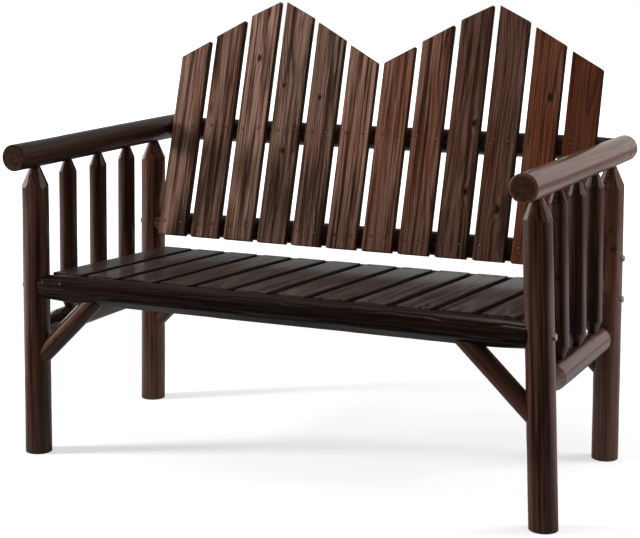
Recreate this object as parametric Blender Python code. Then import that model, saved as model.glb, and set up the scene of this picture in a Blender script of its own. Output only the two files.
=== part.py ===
"""Rustic two-seat patio bench of peeled logs and flat slats.

Units are metres. +X is the sitter's left, which is the right of the bench seen from the front, +Y is the
back and +Z is up. The origin is on the ground under the middle of the bench.

Posts stand in round mortises of the arms, balusters and side rails end in whittled tenons, and the seat and
back rails have ends hollowed to fit round the posts, where bolts draw them tight. The seat slats lie in
rebates of the seat rails and the back slats on planed flats of the back rails. The pieces are made square
and then follow a cage that leans each post its own way.
"""

import math

import bpy
import bmesh
from mathutils import Vector

# Stance, measured between the axes of the posts
POST_SPACING_X = 1.155
POST_SPACING_Y = 0.498

# A hand-built frame stands out of square: how far its corners are shifted at the floor, at the arms and as
# high again, as shares of one length, for the front left, front right, rear left and rear right corner
OUT_OF_SQUARE = 0.01
FOOT_SHIFT_SHARES = ((-0.75, 0.3, 0), (2.66, -0.6, 0), (-1.1, 0.9, 0), (0.37, 0, 0))
ARM_SHIFT_SHARES = ((0.44, 0, -0.47), (-0.33, 0, 0.15), (0.65, 0, -0.1), (0.1, 0, 0.25))
TOP_SHIFT_SHARES = ((0, 0, 0), (0, 0, 0), (0, -0.9, 0), (0, 0, 0))

# Fits and cuts shared by all pieces
CLEARANCE = 0.0003
CUT_OVERRUN = 0.004

# Peeled logs: they swell and thin a little along their length
LOG_SWELL_SHARE = 0.012
LOG_SWELL_LENGTH = 0.34
SIDE_PHASE_SHARE = 0.15
BACK_PHASE_SHARE = 0.3
LOG_STEP = 0.12
LOG_SIDES = 20

# Whittled ends: pared to flat facets, a little fatter at the tip than their tenons
TENON_LIP = 0.0008

# Posts
POST_DIAMETER = 0.0588
POST_PHASE_SHARE = 0.1
POST_FOOT_CHAMFER = 0.003
POST_TAPER_LENGTH = 0.0425
POST_TENON_DIAMETER = 0.023
POST_TENON_DEPTH = 0.032

# Seat rails, heights of the axes above the ground or above each other
FRONT_RAIL_DIAMETER = 0.063
FRONT_RAIL_HEIGHT = 0.384
REAR_RAIL_DIAMETER = 0.055
REAR_RAIL_DROP = 0.023
SEAT_RAIL_PHASE_SHARE = 0.25
SEAT_RAIL_END_TAPER = 0.09
SEAT_RAIL_END_SHARE = 0.86
SEAT_RAIL_LIP_INSET = 0.02

# Side rails
SIDE_RAIL_DIAMETER = 0.056
SIDE_RAIL_DROP = 0.1
SIDE_RAIL_PHASE_SHARE = 0.6
SIDE_RAIL_TAPER_LENGTH = 0.052
SIDE_RAIL_TENON_DIAMETER = 0.031
SIDE_RAIL_TENON_DEPTH = 0.03

# Arms
ARM_DIAMETER = 0.0585
ARM_PHASE_SHARE = 0.35
ARM_RISE = 0.295
ARM_FRONT_OVERHANG = 0.0804
ARM_REAR_OVERHANG = 0.107
ARM_END_CHAMFER = 0.0025

# Balusters
BALUSTER_COUNT = 3
BALUSTER_DIAMETER = 0.0402
BALUSTER_FRONT_OFFSET = 0.1265
BALUSTER_PITCH = 0.1237
BALUSTER_TAPER_LENGTH = 0.026
BALUSTER_TENON_DIAMETER = 0.019
BALUSTER_TENON_DEPTH = 0.02
BALUSTER_SIDES = 18
BALUSTER_PHASE_SHARES = (0.1, 0.45, 0.75)

# Seat slats
SEAT_SLAT_WIDTH = 0.072
SEAT_SLAT_THICKNESS = 0.016
SEAT_SLAT_MIN_GAP = 0.015
SEAT_SLAT_EASING = 0.002
SEAT_LEFT_MARGIN = 0.0153
SEAT_RIGHT_MARGIN = 0.0163
SEAT_FRONT_PROUD = 0.002
SEAT_REAR_PROUD = 0.0052
SEAT_REAR_SETBACK = 0.013
SEAT_FRONT_SETBACK = 0.002

# Back rails
BACK_RAIL_DIAMETER = 0.055
BACK_RAIL_RISE = 0.0905
UPPER_BACK_RAIL_SETBACK = 0.068
BACK_RAIL_PHASE_SHARE = 0.05
BACK_RAIL_END_TAPER = 0.06
BACK_RAIL_END_SHARE = 0.92
BACK_RAIL_LIP_INSET = 0.018
BACK_RAIL_FLAT_DEPTH = 0.0012

# Back slats, lengths along the slat
BACK_SLAT_WIDTH = 0.0737
BACK_SLAT_THICKNESS = 0.017
BACK_SLAT_MIN_GAP = 0.012
BACK_SLAT_EASING = 0.0015
BACK_LEFT_MARGIN = 0.0143
BACK_RIGHT_MARGIN = 0.0162
BACK_SLAT_DROP = 0.0345
BACK_SLAT_LOW_LENGTH = 0.4417
BACK_SLAT_PEAK_LENGTH = 0.595
BACK_SLAT_TIP_CLIP = 0.002
BACK_SLAT_PEAK_CLIP = 0.009

# Corner braces
BRACE_DIAMETER = 0.0422
BRACE_LEG = 0.1117
BRACE_SIDES = 18
BRACE_PHASE_SHARE = 0.2

# Bolts through the posts
BOLT_SHANK_DIAMETER = 0.008
BOLT_DEPTH_IN_RAIL = 0.045
BOLT_TIP_CHAMFER = 0.0015
BOLT_HEAD_ACROSS_FLATS = 0.013
BOLT_HEAD_HEIGHT = 0.0053
BOLT_HEAD_CHAMFER = 0.0008
WASHER_DIAMETER = 0.02
WASHER_THICKNESS = 0.0016
SPOTFACE_DEPTH = 0.002

# Screws through the arms into the upper back rail
ARM_SCREW_SHANK_DIAMETER = 0.005
ARM_SCREW_HEAD_DIAMETER = 0.01
ARM_SCREW_HEAD_HEIGHT = 0.003
ARM_SCREW_HEAD_DOME = 0.001
ARM_SCREW_SPACING = 0.015
ARM_SCREW_DEPTH_IN_RAIL = 0.04
ARM_SCREW_SPOTFACE_DEPTH = 0.0025
FASTENER_SIDES = 12

# Derived places
LEFT = -1
RIGHT = 1
SIDES = ((LEFT, "left"), (RIGHT, "right"))
POST_X = POST_SPACING_X / 2
REAR_RAIL_HEIGHT = FRONT_RAIL_HEIGHT - REAR_RAIL_DROP
SIDE_RAIL_HEIGHT = FRONT_RAIL_HEIGHT - SIDE_RAIL_DROP
LOWER_BACK_RAIL_HEIGHT = REAR_RAIL_HEIGHT + BACK_RAIL_RISE
ARM_HEIGHT = FRONT_RAIL_HEIGHT + ARM_RISE
BACK_LEAN = math.atan2(UPPER_BACK_RAIL_SETBACK, ARM_HEIGHT - LOWER_BACK_RAIL_HEIGHT)
ALONG_BACK = Vector((0, math.sin(BACK_LEAN), math.cos(BACK_LEAN)))
BEHIND_BACK = Vector((0, math.cos(BACK_LEAN), -math.sin(BACK_LEAN)))
BACK_FLAT_OFFSET = BACK_RAIL_DIAMETER / 2 - BACK_RAIL_FLAT_DEPTH
# The clipped corners of the peaks lie about a slat's thickness below the points of the gables
BACK_SLAT_RISE = BACK_SLAT_PEAK_LENGTH - BACK_SLAT_DROP - BACK_SLAT_THICKNESS
BACK_OVERHANG = BACK_SLAT_RISE * math.sin(BACK_LEAN) - BACK_FLAT_OFFSET * math.cos(BACK_LEAN)
REAR_OVERHANG = max(BACK_OVERHANG, ARM_REAR_OVERHANG)
FRONT_Y = (ARM_FRONT_OVERHANG - POST_SPACING_Y - REAR_OVERHANG) / 2
REAR_Y = FRONT_Y + POST_SPACING_Y
UPPER_RAIL_Y = REAR_Y + UPPER_BACK_RAIL_SETBACK

UP = Vector((0, 0, 1))
TO_RIGHT = Vector((1, 0, 0))
HALF_SHARE = 0.5
SHARP_ANGLE = math.radians(32)


def clear_scene():
    """Take away every object that the file opens with."""
    for thing in list(bpy.data.objects):
        bpy.data.objects.remove(thing, do_unlink=True)


def make_material(name, colour, roughness, metallic=0):
    """A plain finish for one kind of piece."""
    material = bpy.data.materials.new(name)
    material.use_nodes = True
    shader = material.node_tree.nodes["Principled BSDF"]
    shader.inputs["Base Color"].default_value = (*colour, 1)
    shader.inputs["Roughness"].default_value = roughness
    shader.inputs["Metallic"].default_value = metallic
    return material


def mesh_from(work, name):
    """Turn a bmesh into a mesh with all faces pointing out."""
    bmesh.ops.recalc_face_normals(work, faces=work.faces)
    mesh = bpy.data.meshes.new(name)
    work.to_mesh(mesh)
    work.free()
    return mesh


def ring(distance, radius, sides, corner_share=1, scallop=0):
    """Points round the axis; odd ones stand out by corner_share and lie further along by scallop."""
    points = []
    for side in range(sides):
        turn = 2 * math.pi * (side + HALF_SHARE) / sides
        odd = side % 2
        reach = radius * (corner_share if odd else 1)
        points.append((reach * math.cos(turn), reach * math.sin(turn), distance + scallop * odd))
    return points


def hexagon_ring(distance, half_flats, sides):
    """Points round a hexagon, for the head of a bolt."""
    points = []
    for side in range(sides):
        turn = 2 * math.pi * (side + HALF_SHARE) / sides
        from_corner = 2 * math.pi * side / sides % (math.pi / 3)
        reach = half_flats / math.cos(from_corner - math.pi / 6)
        points.append((reach * math.cos(turn), reach * math.sin(turn), distance))
    return points


def loft(name, rings):
    """A closed bar along +Z through rings of points."""
    work = bmesh.new()
    loops = [[work.verts.new(point) for point in points] for points in rings]
    for lower, upper in zip(loops, loops[1:]):
        for side in range(len(lower)):
            following = (side + 1) % len(lower)
            work.faces.new((lower[side], lower[following], upper[following], upper[side]))
    work.faces.new(reversed(loops[0]))
    work.faces.new(loops[-1])
    return mesh_from(work, name)


def place(thing, start, direction):
    """Stand an object's +Z along a direction, from a start point."""
    thing.location = start
    thing.rotation_mode = "QUATERNION"
    thing.rotation_quaternion = Vector(direction).to_track_quat("Z", "Y")


def make_piece(name, mesh, material, start=(0, 0, 0), direction=UP):
    """Put a mesh in the scene as one piece of the bench."""
    piece = bpy.data.objects.new(name, mesh)
    bpy.context.collection.objects.link(piece)
    piece.data.materials.append(material)
    place(piece, start, direction)
    return piece


def make_tool(name, mesh, start=(0, 0, 0), direction=UP):
    """Put a mesh in the scene as a cutter, which isn't part of the bench."""
    tool = bpy.data.objects.new(name, mesh)
    bpy.context.collection.objects.link(tool)
    place(tool, start, direction)
    tool.display_type = "WIRE"
    tool.hide_render = True
    return tool


def cut(piece, tool):
    """Take the tool's shape out of a piece."""
    step = piece.modifiers.new(tool.name, "BOOLEAN")
    step.operation = "DIFFERENCE"
    step.solver = "EXACT"
    step.object = tool


def shade_round(piece):
    """Smooth the round faces and keep the cut edges sharp."""
    piece.data.shade_smooth()
    piece.data.set_sharp_from_angle(angle=SHARP_ANGLE)


class Log:
    """A peeled log on a straight axis, with a radius that swells and thins along it."""

    def __init__(self, start, end, diameter, phase_share):
        self.start = Vector(start)
        self.end = Vector(end)
        self.length = (self.end - self.start).length
        self.direction = (self.end - self.start) / self.length
        self.radius = diameter / 2
        self.phase_share = phase_share
        self.end_taper = 0
        self.end_share = 1

    def taper_ends(self, length, share):
        """Thin both ends to a share of the radius."""
        self.end_taper = length
        self.end_share = share
        return self

    def swell_at(self, step):
        """The share by which the radius swells at a whole step."""
        waves = step * LOG_STEP / LOG_SWELL_LENGTH + self.phase_share
        return LOG_SWELL_SHARE * math.sin(2 * math.pi * waves)

    def radius_at(self, distance):
        """The radius at a distance from the start, along straight lines between the steps."""
        step = math.floor(distance / LOG_STEP)
        beyond_share = distance / LOG_STEP - step
        swell = self.swell_at(step) * (1 - beyond_share) + self.swell_at(step + 1) * beyond_share
        radius = self.radius * (1 + swell)
        from_end = min(distance, self.length - distance)
        if self.end_taper and from_end < self.end_taper:
            ease = math.sin(math.pi / 2 * max(from_end, 0) / self.end_taper)
            radius *= self.end_share + (1 - self.end_share) * ease
        return radius

    def steps_between(self, first, last):
        """Distances of the whole steps that lie well inside two distances."""
        margin = LOG_STEP / 4
        first_step = math.ceil((first + margin) / LOG_STEP)
        last_step = math.floor((last - margin) / LOG_STEP)
        return [LOG_STEP * step for step in range(first_step, last_step + 1)]

    def rings(self, distances, sides=LOG_SIDES, extra=0):
        """Rings of the log at some distances, fatter by extra."""
        return [ring(place, self.radius_at(place) + extra, sides) for place in distances]

    def whole(self, sides=LOG_SIDES, extra=0):
        """Rings of the whole log, with more of them on tapered ends."""
        near = [0, self.end_taper / 2, self.end_taper] if self.end_taper else [0]
        far = [self.length - place for place in reversed(near)]
        return self.rings(near + self.steps_between(near[-1], far[0]) + far, sides, extra)

    def surface_height(self, along):
        """The height of the log's crown at a distance along it, for a level log."""
        return self.start.z + self.radius_at(along)

    def clearance_tool(self, name):
        """A cutter that leaves the working clearance round this log."""
        return make_tool(name, loft(name, self.whole(LOG_SIDES, CLEARANCE)), self.start, self.direction)


def whittled_end(log, shoulder, tip, tenon_radius, tenon_tip, sides):
    """Rings of an end pared to flat facets from its shoulder to its tip, with a round tenon beyond."""
    body_radius = log.radius_at(shoulder)
    tip_radius = tenon_radius + TENON_LIP
    half_facet = 2 * math.pi / sides
    scallop_share = body_radius * (1 - math.cos(half_facet)) / (body_radius - tip_radius)
    return [
        ring(shoulder, body_radius, sides, 1, (tip - shoulder) * scallop_share),
        ring(tip, tip_radius, sides, 1 / math.cos(half_facet)),
        ring(tip, tenon_radius, sides),
        ring(tenon_tip, tenon_radius, sides),
    ]


def straight_tool(name, radius, start, direction, length, sides=LOG_SIDES):
    """A round cutter that leaves the working clearance round a tenon."""
    rings = [ring(place, radius + CLEARANCE, sides) for place in (0, length)]
    return make_tool(name, loft(name, rings), start, direction)


def post_log(side, back):
    """The log of a post, from the floor to the top of its tenon's shoulder."""
    y = REAR_Y if back else FRONT_Y
    arm_underside = ARM_HEIGHT - ARM_DIAMETER / 2
    phase_share = POST_PHASE_SHARE + BACK_PHASE_SHARE * back + SIDE_PHASE_SHARE * side
    return Log((side * POST_X, y, 0), (side * POST_X, y, arm_underside), POST_DIAMETER, phase_share)


def arm_log(side):
    """The log of an arm, front end to rear end."""
    start = (side * POST_X, FRONT_Y - ARM_FRONT_OVERHANG, ARM_HEIGHT)
    end = (side * POST_X, REAR_Y + ARM_REAR_OVERHANG, ARM_HEIGHT)
    return Log(start, end, ARM_DIAMETER, ARM_PHASE_SHARE + SIDE_PHASE_SHARE * side)


def side_rail_log(side):
    """The log of a lower side rail, between the axes of its posts."""
    start = (side * POST_X, FRONT_Y, SIDE_RAIL_HEIGHT)
    end = (side * POST_X, REAR_Y, SIDE_RAIL_HEIGHT)
    return Log(start, end, SIDE_RAIL_DIAMETER, SIDE_RAIL_PHASE_SHARE + SIDE_PHASE_SHARE * side)


def seat_rail_log(back):
    """The log of a seat rail, whose lips end short of the axes of its posts."""
    y = REAR_Y if back else FRONT_Y
    height = REAR_RAIL_HEIGHT if back else FRONT_RAIL_HEIGHT
    diameter = REAR_RAIL_DIAMETER if back else FRONT_RAIL_DIAMETER
    phase_share = SEAT_RAIL_PHASE_SHARE + BACK_PHASE_SHARE * back
    end_x = POST_X - SEAT_RAIL_LIP_INSET
    log = Log((-end_x, y, height), (end_x, y, height), diameter, phase_share)
    return log.taper_ends(SEAT_RAIL_END_TAPER, SEAT_RAIL_END_SHARE)


def back_rail_log(upper):
    """The log of a back rail, whose lips end short of the axes of the arms or of the rear posts."""
    y = UPPER_RAIL_Y if upper else REAR_Y
    height = ARM_HEIGHT if upper else LOWER_BACK_RAIL_HEIGHT
    phase_share = BACK_RAIL_PHASE_SHARE + BACK_PHASE_SHARE * upper
    end_x = POST_X - BACK_RAIL_LIP_INSET
    log = Log((-end_x, y, height), (end_x, y, height), BACK_RAIL_DIAMETER, phase_share)
    return log.taper_ends(BACK_RAIL_END_TAPER, BACK_RAIL_END_SHARE)


def seat_plane():
    """The front and rear ends of the seat's top, as points in the YZ plane."""
    front_top = FRONT_RAIL_HEIGHT + FRONT_RAIL_DIAMETER / 2 + SEAT_FRONT_PROUD
    rear_top = REAR_RAIL_HEIGHT + REAR_RAIL_DIAMETER / 2 + SEAT_REAR_PROUD
    front = Vector((0, FRONT_Y - SEAT_FRONT_SETBACK, front_top))
    rear = Vector((0, REAR_Y - SEAT_REAR_SETBACK, rear_top))
    return front, rear


def slat_places(first_edge, last_edge, width, least_gap):
    """Left edges of equal slats that fill a span, in an even number."""
    span = last_edge - first_edge
    count = 2 * int((span + least_gap) / (width + least_gap) / 2)
    pitch = (span - width) / (count - 1)
    return [first_edge + pitch * place for place in range(count)]


def block(name, lows, highs):
    """A closed block between two corners."""
    work = bmesh.new()
    bmesh.ops.create_cube(work, size=1)
    for vert in work.verts:
        for axis in range(3):
            vert.co[axis] = highs[axis] if vert.co[axis] > 0 else lows[axis]
    return mesh_from(work, name)


def ease_edges(piece, width):
    """Take the sharp edges off a sawn slat."""
    bevel = piece.modifiers.new("eased edges", "BEVEL")
    bevel.width = width
    bevel.segments = 1
    bevel.limit_method = "ANGLE"


def build_posts(finish):
    """Four posts, whittled under the arms."""
    posts = {}
    tenon_radius = POST_TENON_DIAMETER / 2
    for side, side_name in SIDES:
        for back, end_name in ((False, "front"), (True, "rear")):
            log = post_log(side, back)
            name = "post_" + end_name + "_" + side_name
            tip = log.length - CLEARANCE
            shoulder = tip - POST_TAPER_LENGTH
            rings = [
                ring(0, log.radius_at(0) - POST_FOOT_CHAMFER, LOG_SIDES),
                ring(POST_FOOT_CHAMFER, log.radius_at(0), LOG_SIDES),
            ]
            rings += log.rings(log.steps_between(POST_FOOT_CHAMFER, shoulder))
            tenon_tip = log.length + POST_TENON_DEPTH
            rings += whittled_end(log, shoulder, tip, tenon_radius, tenon_tip, LOG_SIDES)
            posts[side, back] = make_piece(name, loft(name, rings), finish, log.start, log.direction)
    return posts


def build_arms(finish):
    """Two arms with sawn, chamfered ends, bored for the tenons of the posts."""
    arms = {}
    for side, side_name in SIDES:
        log = arm_log(side)
        name = "arm_" + side_name
        near_radius = log.radius_at(0)
        far_radius = log.radius_at(log.length)
        rings = [
            ring(0, near_radius - ARM_END_CHAMFER, LOG_SIDES),
            ring(ARM_END_CHAMFER, near_radius, LOG_SIDES),
        ]
        rings += log.rings(log.steps_between(0, log.length))
        rings += [
            ring(log.length - ARM_END_CHAMFER, far_radius, LOG_SIDES),
            ring(log.length, far_radius - ARM_END_CHAMFER, LOG_SIDES),
        ]
        arms[side] = make_piece(name, loft(name, rings), finish, log.start, log.direction)
        for back, end_name in ((False, "front"), (True, "rear")):
            start = post_log(side, back).end - UP * POST_TENON_DEPTH
            tool_name = "post_mortise_" + end_name + "_" + side_name
            reach = 2 * POST_TENON_DEPTH + CLEARANCE
            cut(arms[side], straight_tool(tool_name, POST_TENON_DIAMETER / 2, start, UP, reach))
    return arms


def build_side_rails(finish, posts):
    """Two side rails with whittled ends, whose tenons enter the posts."""
    rails = {}
    tenon_radius = SIDE_RAIL_TENON_DIAMETER / 2
    for side, side_name in SIDES:
        log = side_rail_log(side)
        name = "side_rail_" + side_name
        near_tip = POST_DIAMETER / 2 + CLEARANCE
        near_shoulder = near_tip + SIDE_RAIL_TAPER_LENGTH
        tenon_tip = near_tip - SIDE_RAIL_TENON_DEPTH
        far_tip = log.length - near_tip
        far_shoulder = log.length - near_shoulder
        far_tenon_tip = log.length - tenon_tip
        near = whittled_end(log, near_shoulder, near_tip, tenon_radius, tenon_tip, LOG_SIDES)
        far = whittled_end(log, far_shoulder, far_tip, tenon_radius, far_tenon_tip, LOG_SIDES)
        body = log.rings(log.steps_between(near_shoulder, far_shoulder))
        mesh = loft(name, near[::-1] + body + far)
        rails[side] = make_piece(name, mesh, finish, log.start, log.direction)

        start = log.start + log.direction * (tenon_tip - CLEARANCE)
        reach = far_tenon_tip - tenon_tip + 2 * CLEARANCE
        tool = straight_tool(name + "_mortises", tenon_radius, start, log.direction, reach)
        cut(posts[side, False], tool)
        cut(posts[side, True], tool)
    return rails


def build_balusters(finish, arms, side_rails):
    """Three balusters a side, whittled at both ends, between the side rail and the arm."""
    tenon_radius = BALUSTER_TENON_DIAMETER / 2
    for side, side_name in SIDES:
        rail_log = side_rail_log(side)
        arm = arm_log(side)
        for place_number in range(BALUSTER_COUNT):
            along = BALUSTER_FRONT_OFFSET + BALUSTER_PITCH * place_number
            y = FRONT_Y + along
            foot = rail_log.surface_height(along) + CLEARANCE
            head = ARM_HEIGHT - arm.radius_at(ARM_FRONT_OVERHANG + along) - CLEARANCE
            phase_share = BALUSTER_PHASE_SHARES[place_number % len(BALUSTER_PHASE_SHARES)]
            log = Log((side * POST_X, y, foot), (side * POST_X, y, head), BALUSTER_DIAMETER, phase_share)
            name = "baluster_" + side_name + "_" + str(place_number + 1)
            shoulder = BALUSTER_TAPER_LENGTH
            far_shoulder = log.length - shoulder
            far_tip = log.length + BALUSTER_TENON_DEPTH
            near = whittled_end(log, shoulder, 0, tenon_radius, -BALUSTER_TENON_DEPTH, BALUSTER_SIDES)
            far = whittled_end(log, far_shoulder, log.length, tenon_radius, far_tip, BALUSTER_SIDES)
            body = log.rings(log.steps_between(shoulder, far_shoulder), BALUSTER_SIDES)
            baluster = make_piece(name, loft(name, near[::-1] + body + far), finish, log.start, UP)
            shade_round(baluster)

            start = log.start - UP * (BALUSTER_TENON_DEPTH + CLEARANCE)
            reach = log.length + 2 * (BALUSTER_TENON_DEPTH + CLEARANCE)
            tool = straight_tool(name + "_mortises", tenon_radius, start, UP, reach, BALUSTER_SIDES)
            cut(arms[side], tool)
            cut(side_rails[side], tool)


def build_seat_rails(finish):
    """Front and rear seat rails with hollowed ends and a rebate for the slats."""
    rails = {}
    front, rear = seat_plane()
    slope = math.atan2(rear.z - front.z, rear.y - front.y)
    fall = (rear - front).normalized()
    below = Vector((0, fall.z, -fall.y))
    for back, name in ((False, "front_seat_rail"), (True, "rear_seat_rail")):
        log = seat_rail_log(back)
        rail = make_piece(name, loft(name, log.whole()), finish, log.start, log.direction)
        for side, side_name in SIDES:
            cut(rail, post_log(side, back).clearance_tool(name + "_hollow_" + side_name))
        inward = -1 if back else 1
        end = rear if back else front
        corner = end + below * (SEAT_SLAT_THICKNESS + CLEARANCE) - fall * inward * CLEARANCE
        rebate_name = name + "_rebate"
        reach = POST_DIAMETER
        lows = (-POST_SPACING_X, min(0, inward * reach), 0)
        highs = (POST_SPACING_X, max(0, inward * reach), reach)
        rebate = make_tool(rebate_name, block(rebate_name, lows, highs))
        rebate.rotation_mode = "XYZ"
        rebate.rotation_euler = (slope, 0, 0)
        rebate.location = corner
        cut(rail, rebate)
        rails[back] = rail
    return rails


def build_seat_slats(finish):
    """Seat slats, running front to back, that lie in the rebates of the seat rails."""
    front, rear = seat_plane()
    length = (rear - front).length
    slope = math.atan2(rear.z - front.z, rear.y - front.y)
    first_edge = -POST_X + POST_DIAMETER / 2 + SEAT_LEFT_MARGIN
    last_edge = POST_X - POST_DIAMETER / 2 - SEAT_RIGHT_MARGIN
    edges = slat_places(first_edge, last_edge, SEAT_SLAT_WIDTH, SEAT_SLAT_MIN_GAP)
    for number, edge in enumerate(edges, start=1):
        name = "seat_slat_%02d" % number
        mesh = block(name, (0, 0, -SEAT_SLAT_THICKNESS), (SEAT_SLAT_WIDTH, length, 0))
        slat = make_piece(name, mesh, finish)
        slat.rotation_mode = "XYZ"
        slat.rotation_euler = (slope, 0, 0)
        slat.location = (edge, front.y, front.z)
        ease_edges(slat, SEAT_SLAT_EASING)


def build_back_rails(finish):
    """Lower back rail between the rear posts and upper back rail between the arms, planed flat in front."""
    rails = {}
    for upper, name in ((False, "lower_back_rail"), (True, "upper_back_rail")):
        log = back_rail_log(upper)
        rail = make_piece(name, loft(name, log.whole()), finish, log.start, log.direction)
        for side, side_name in SIDES:
            hollowing = arm_log(side) if upper else post_log(side, True)
            cut(rail, hollowing.clearance_tool(name + "_hollow_" + side_name))
        plane_name = name + "_flat"
        reach = BACK_RAIL_DIAMETER
        lows = (-POST_SPACING_X, -reach, -reach)
        highs = (POST_SPACING_X, -BACK_FLAT_OFFSET, reach)
        plane = make_tool(plane_name, block(plane_name, lows, highs))
        plane.rotation_mode = "XYZ"
        plane.rotation_euler = (-BACK_LEAN, 0, 0)
        plane.location = (0, log.start.y, log.start.z)
        cut(rail, plane)
        rails[upper] = rail
    return rails


def gable_length(x, centre, half_span):
    """The length of a back slat's edge: longest at the middle of its gable."""
    fall_share = abs(x - centre) / half_span
    return BACK_SLAT_PEAK_LENGTH + (BACK_SLAT_LOW_LENGTH - BACK_SLAT_PEAK_LENGTH) * fall_share


def build_back_slats(finish):
    """Back slats with slanted tops, in two gables side by side."""
    first_edge = -POST_X + ARM_DIAMETER / 2 + BACK_LEFT_MARGIN
    last_edge = POST_X - ARM_DIAMETER / 2 - BACK_RIGHT_MARGIN
    edges = slat_places(first_edge, last_edge, BACK_SLAT_WIDTH, BACK_SLAT_MIN_GAP)
    per_gable = len(edges) // 2
    lower_axis = Vector((0, REAR_Y, LOWER_BACK_RAIL_HEIGHT))
    foot = lower_axis - ALONG_BACK * BACK_SLAT_DROP - BEHIND_BACK * (BACK_FLAT_OFFSET + CLEARANCE)
    for number, edge in enumerate(edges, start=1):
        gable = edges[:per_gable] if number <= per_gable else edges[per_gable:]
        half_span = (gable[-1] + BACK_SLAT_WIDTH - gable[0]) / 2
        centre = gable[0] + half_span
        left = gable_length(edge, centre, half_span)
        right = gable_length(edge + BACK_SLAT_WIDTH, centre, half_span)
        at_peak = abs(edge + BACK_SLAT_WIDTH / 2 - centre) < BACK_SLAT_WIDTH
        clip = BACK_SLAT_PEAK_CLIP if at_peak else BACK_SLAT_TIP_CLIP
        fall = clip * abs(right - left) / BACK_SLAT_WIDTH
        outline = [(0, 0), (BACK_SLAT_WIDTH, 0)]
        if right > left:
            outline += [(BACK_SLAT_WIDTH, right - clip), (BACK_SLAT_WIDTH - clip, right - fall), (0, left)]
        else:
            outline += [(BACK_SLAT_WIDTH, right), (clip, left - fall), (0, left - clip)]
        name = "back_slat_%02d" % number
        work = bmesh.new()
        face = work.faces.new([work.verts.new((x, 0, z)) for x, z in outline])
        grown = bmesh.ops.extrude_face_region(work, geom=[face])
        moved = [item for item in grown["geom"] if isinstance(item, bmesh.types.BMVert)]
        bmesh.ops.translate(work, verts=moved, vec=(0, -BACK_SLAT_THICKNESS, 0))
        slat = make_piece(name, mesh_from(work, name), finish)
        slat.rotation_mode = "XYZ"
        slat.rotation_euler = (-BACK_LEAN, 0, 0)
        slat.location = (edge, foot.y, foot.z)
        ease_edges(slat, BACK_SLAT_EASING)


def build_braces(finish):
    """Four corner braces, hollowed to fit against the posts and under the seat rails."""
    for side, side_name in SIDES:
        for back, end_name in ((False, "front"), (True, "rear")):
            rail = seat_rail_log(back)
            underside = rail.start.z - rail.radius
            face_x = POST_X - POST_DIAMETER / 2
            name = "brace_" + end_name + "_" + side_name
            low = Vector((side * face_x, rail.start.y, underside - BRACE_LEG))
            high = Vector((side * (face_x - BRACE_LEG), rail.start.y, underside))
            along = (high - low).normalized()
            run_in = POST_DIAMETER / 2
            phase_share = BRACE_PHASE_SHARE + BACK_PHASE_SHARE * back
            log = Log(low - along * run_in, high + along * run_in, BRACE_DIAMETER, phase_share)
            brace = make_piece(name, loft(name, log.whole(BRACE_SIDES)), finish, log.start, log.direction)
            cut(brace, post_log(side, back).clearance_tool(name + "_post_fit"))
            cut(brace, rail.clearance_tool(name + "_rail_fit"))
            shade_round(brace)


def bolt_rings(seat):
    """Rings of a bolt and its washer, from the tip of the shank to the top of the head."""
    shank = BOLT_SHANK_DIAMETER / 2
    washer = WASHER_DIAMETER / 2
    half_flats = BOLT_HEAD_ACROSS_FLATS / 2
    head = seat + WASHER_THICKNESS
    crown = head + BOLT_HEAD_HEIGHT
    return [
        ring(0, shank - BOLT_TIP_CHAMFER, FASTENER_SIDES),
        ring(BOLT_TIP_CHAMFER, shank, FASTENER_SIDES),
        ring(seat, shank, FASTENER_SIDES),
        ring(seat, washer, FASTENER_SIDES),
        ring(head, washer, FASTENER_SIDES),
        hexagon_ring(head, half_flats, FASTENER_SIDES),
        hexagon_ring(crown - BOLT_HEAD_CHAMFER, half_flats, FASTENER_SIDES),
        ring(crown, half_flats - BOLT_HEAD_CHAMFER, FASTENER_SIDES),
    ]


def arm_screw_rings(seat):
    """Rings of a screw with a low domed head, from its point to the top of the head."""
    shank = ARM_SCREW_SHANK_DIAMETER / 2
    head = ARM_SCREW_HEAD_DIAMETER / 2
    top = seat + ARM_SCREW_HEAD_HEIGHT
    return [
        ring(0, shank / 2, FASTENER_SIDES),
        ring(shank, shank, FASTENER_SIDES),
        ring(seat, shank, FASTENER_SIDES),
        ring(seat, head, FASTENER_SIDES),
        ring(top - ARM_SCREW_HEAD_DOME, head, FASTENER_SIDES),
        ring(top, head - ARM_SCREW_HEAD_DOME, FASTENER_SIDES),
    ]


def bore_rings(seat, shank_radius, head_radius, sunk):
    """Rings of a stepped bore, with clearance, for a shank and for the seat of a washer or head."""
    shank = shank_radius + CLEARANCE
    head = head_radius + CLEARANCE
    return [
        ring(-CLEARANCE, shank, FASTENER_SIDES),
        ring(seat - CLEARANCE, shank, FASTENER_SIDES),
        ring(seat - CLEARANCE, head, FASTENER_SIDES),
        ring(seat + sunk + CUT_OVERRUN, head, FASTENER_SIDES),
    ]


def fit_fastener(name, rings, bore, finish, tip, outward, bored):
    """Place a bolt or screw, and bore the pieces that it goes through."""
    fastener = make_piece(name, loft(name, rings), finish, tip, outward)
    shade_round(fastener)
    bore_name = name + "_bore"
    tool = make_tool(bore_name, loft(bore_name, bore), tip, outward)
    for piece in bored:
        cut(piece, tool)


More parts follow.
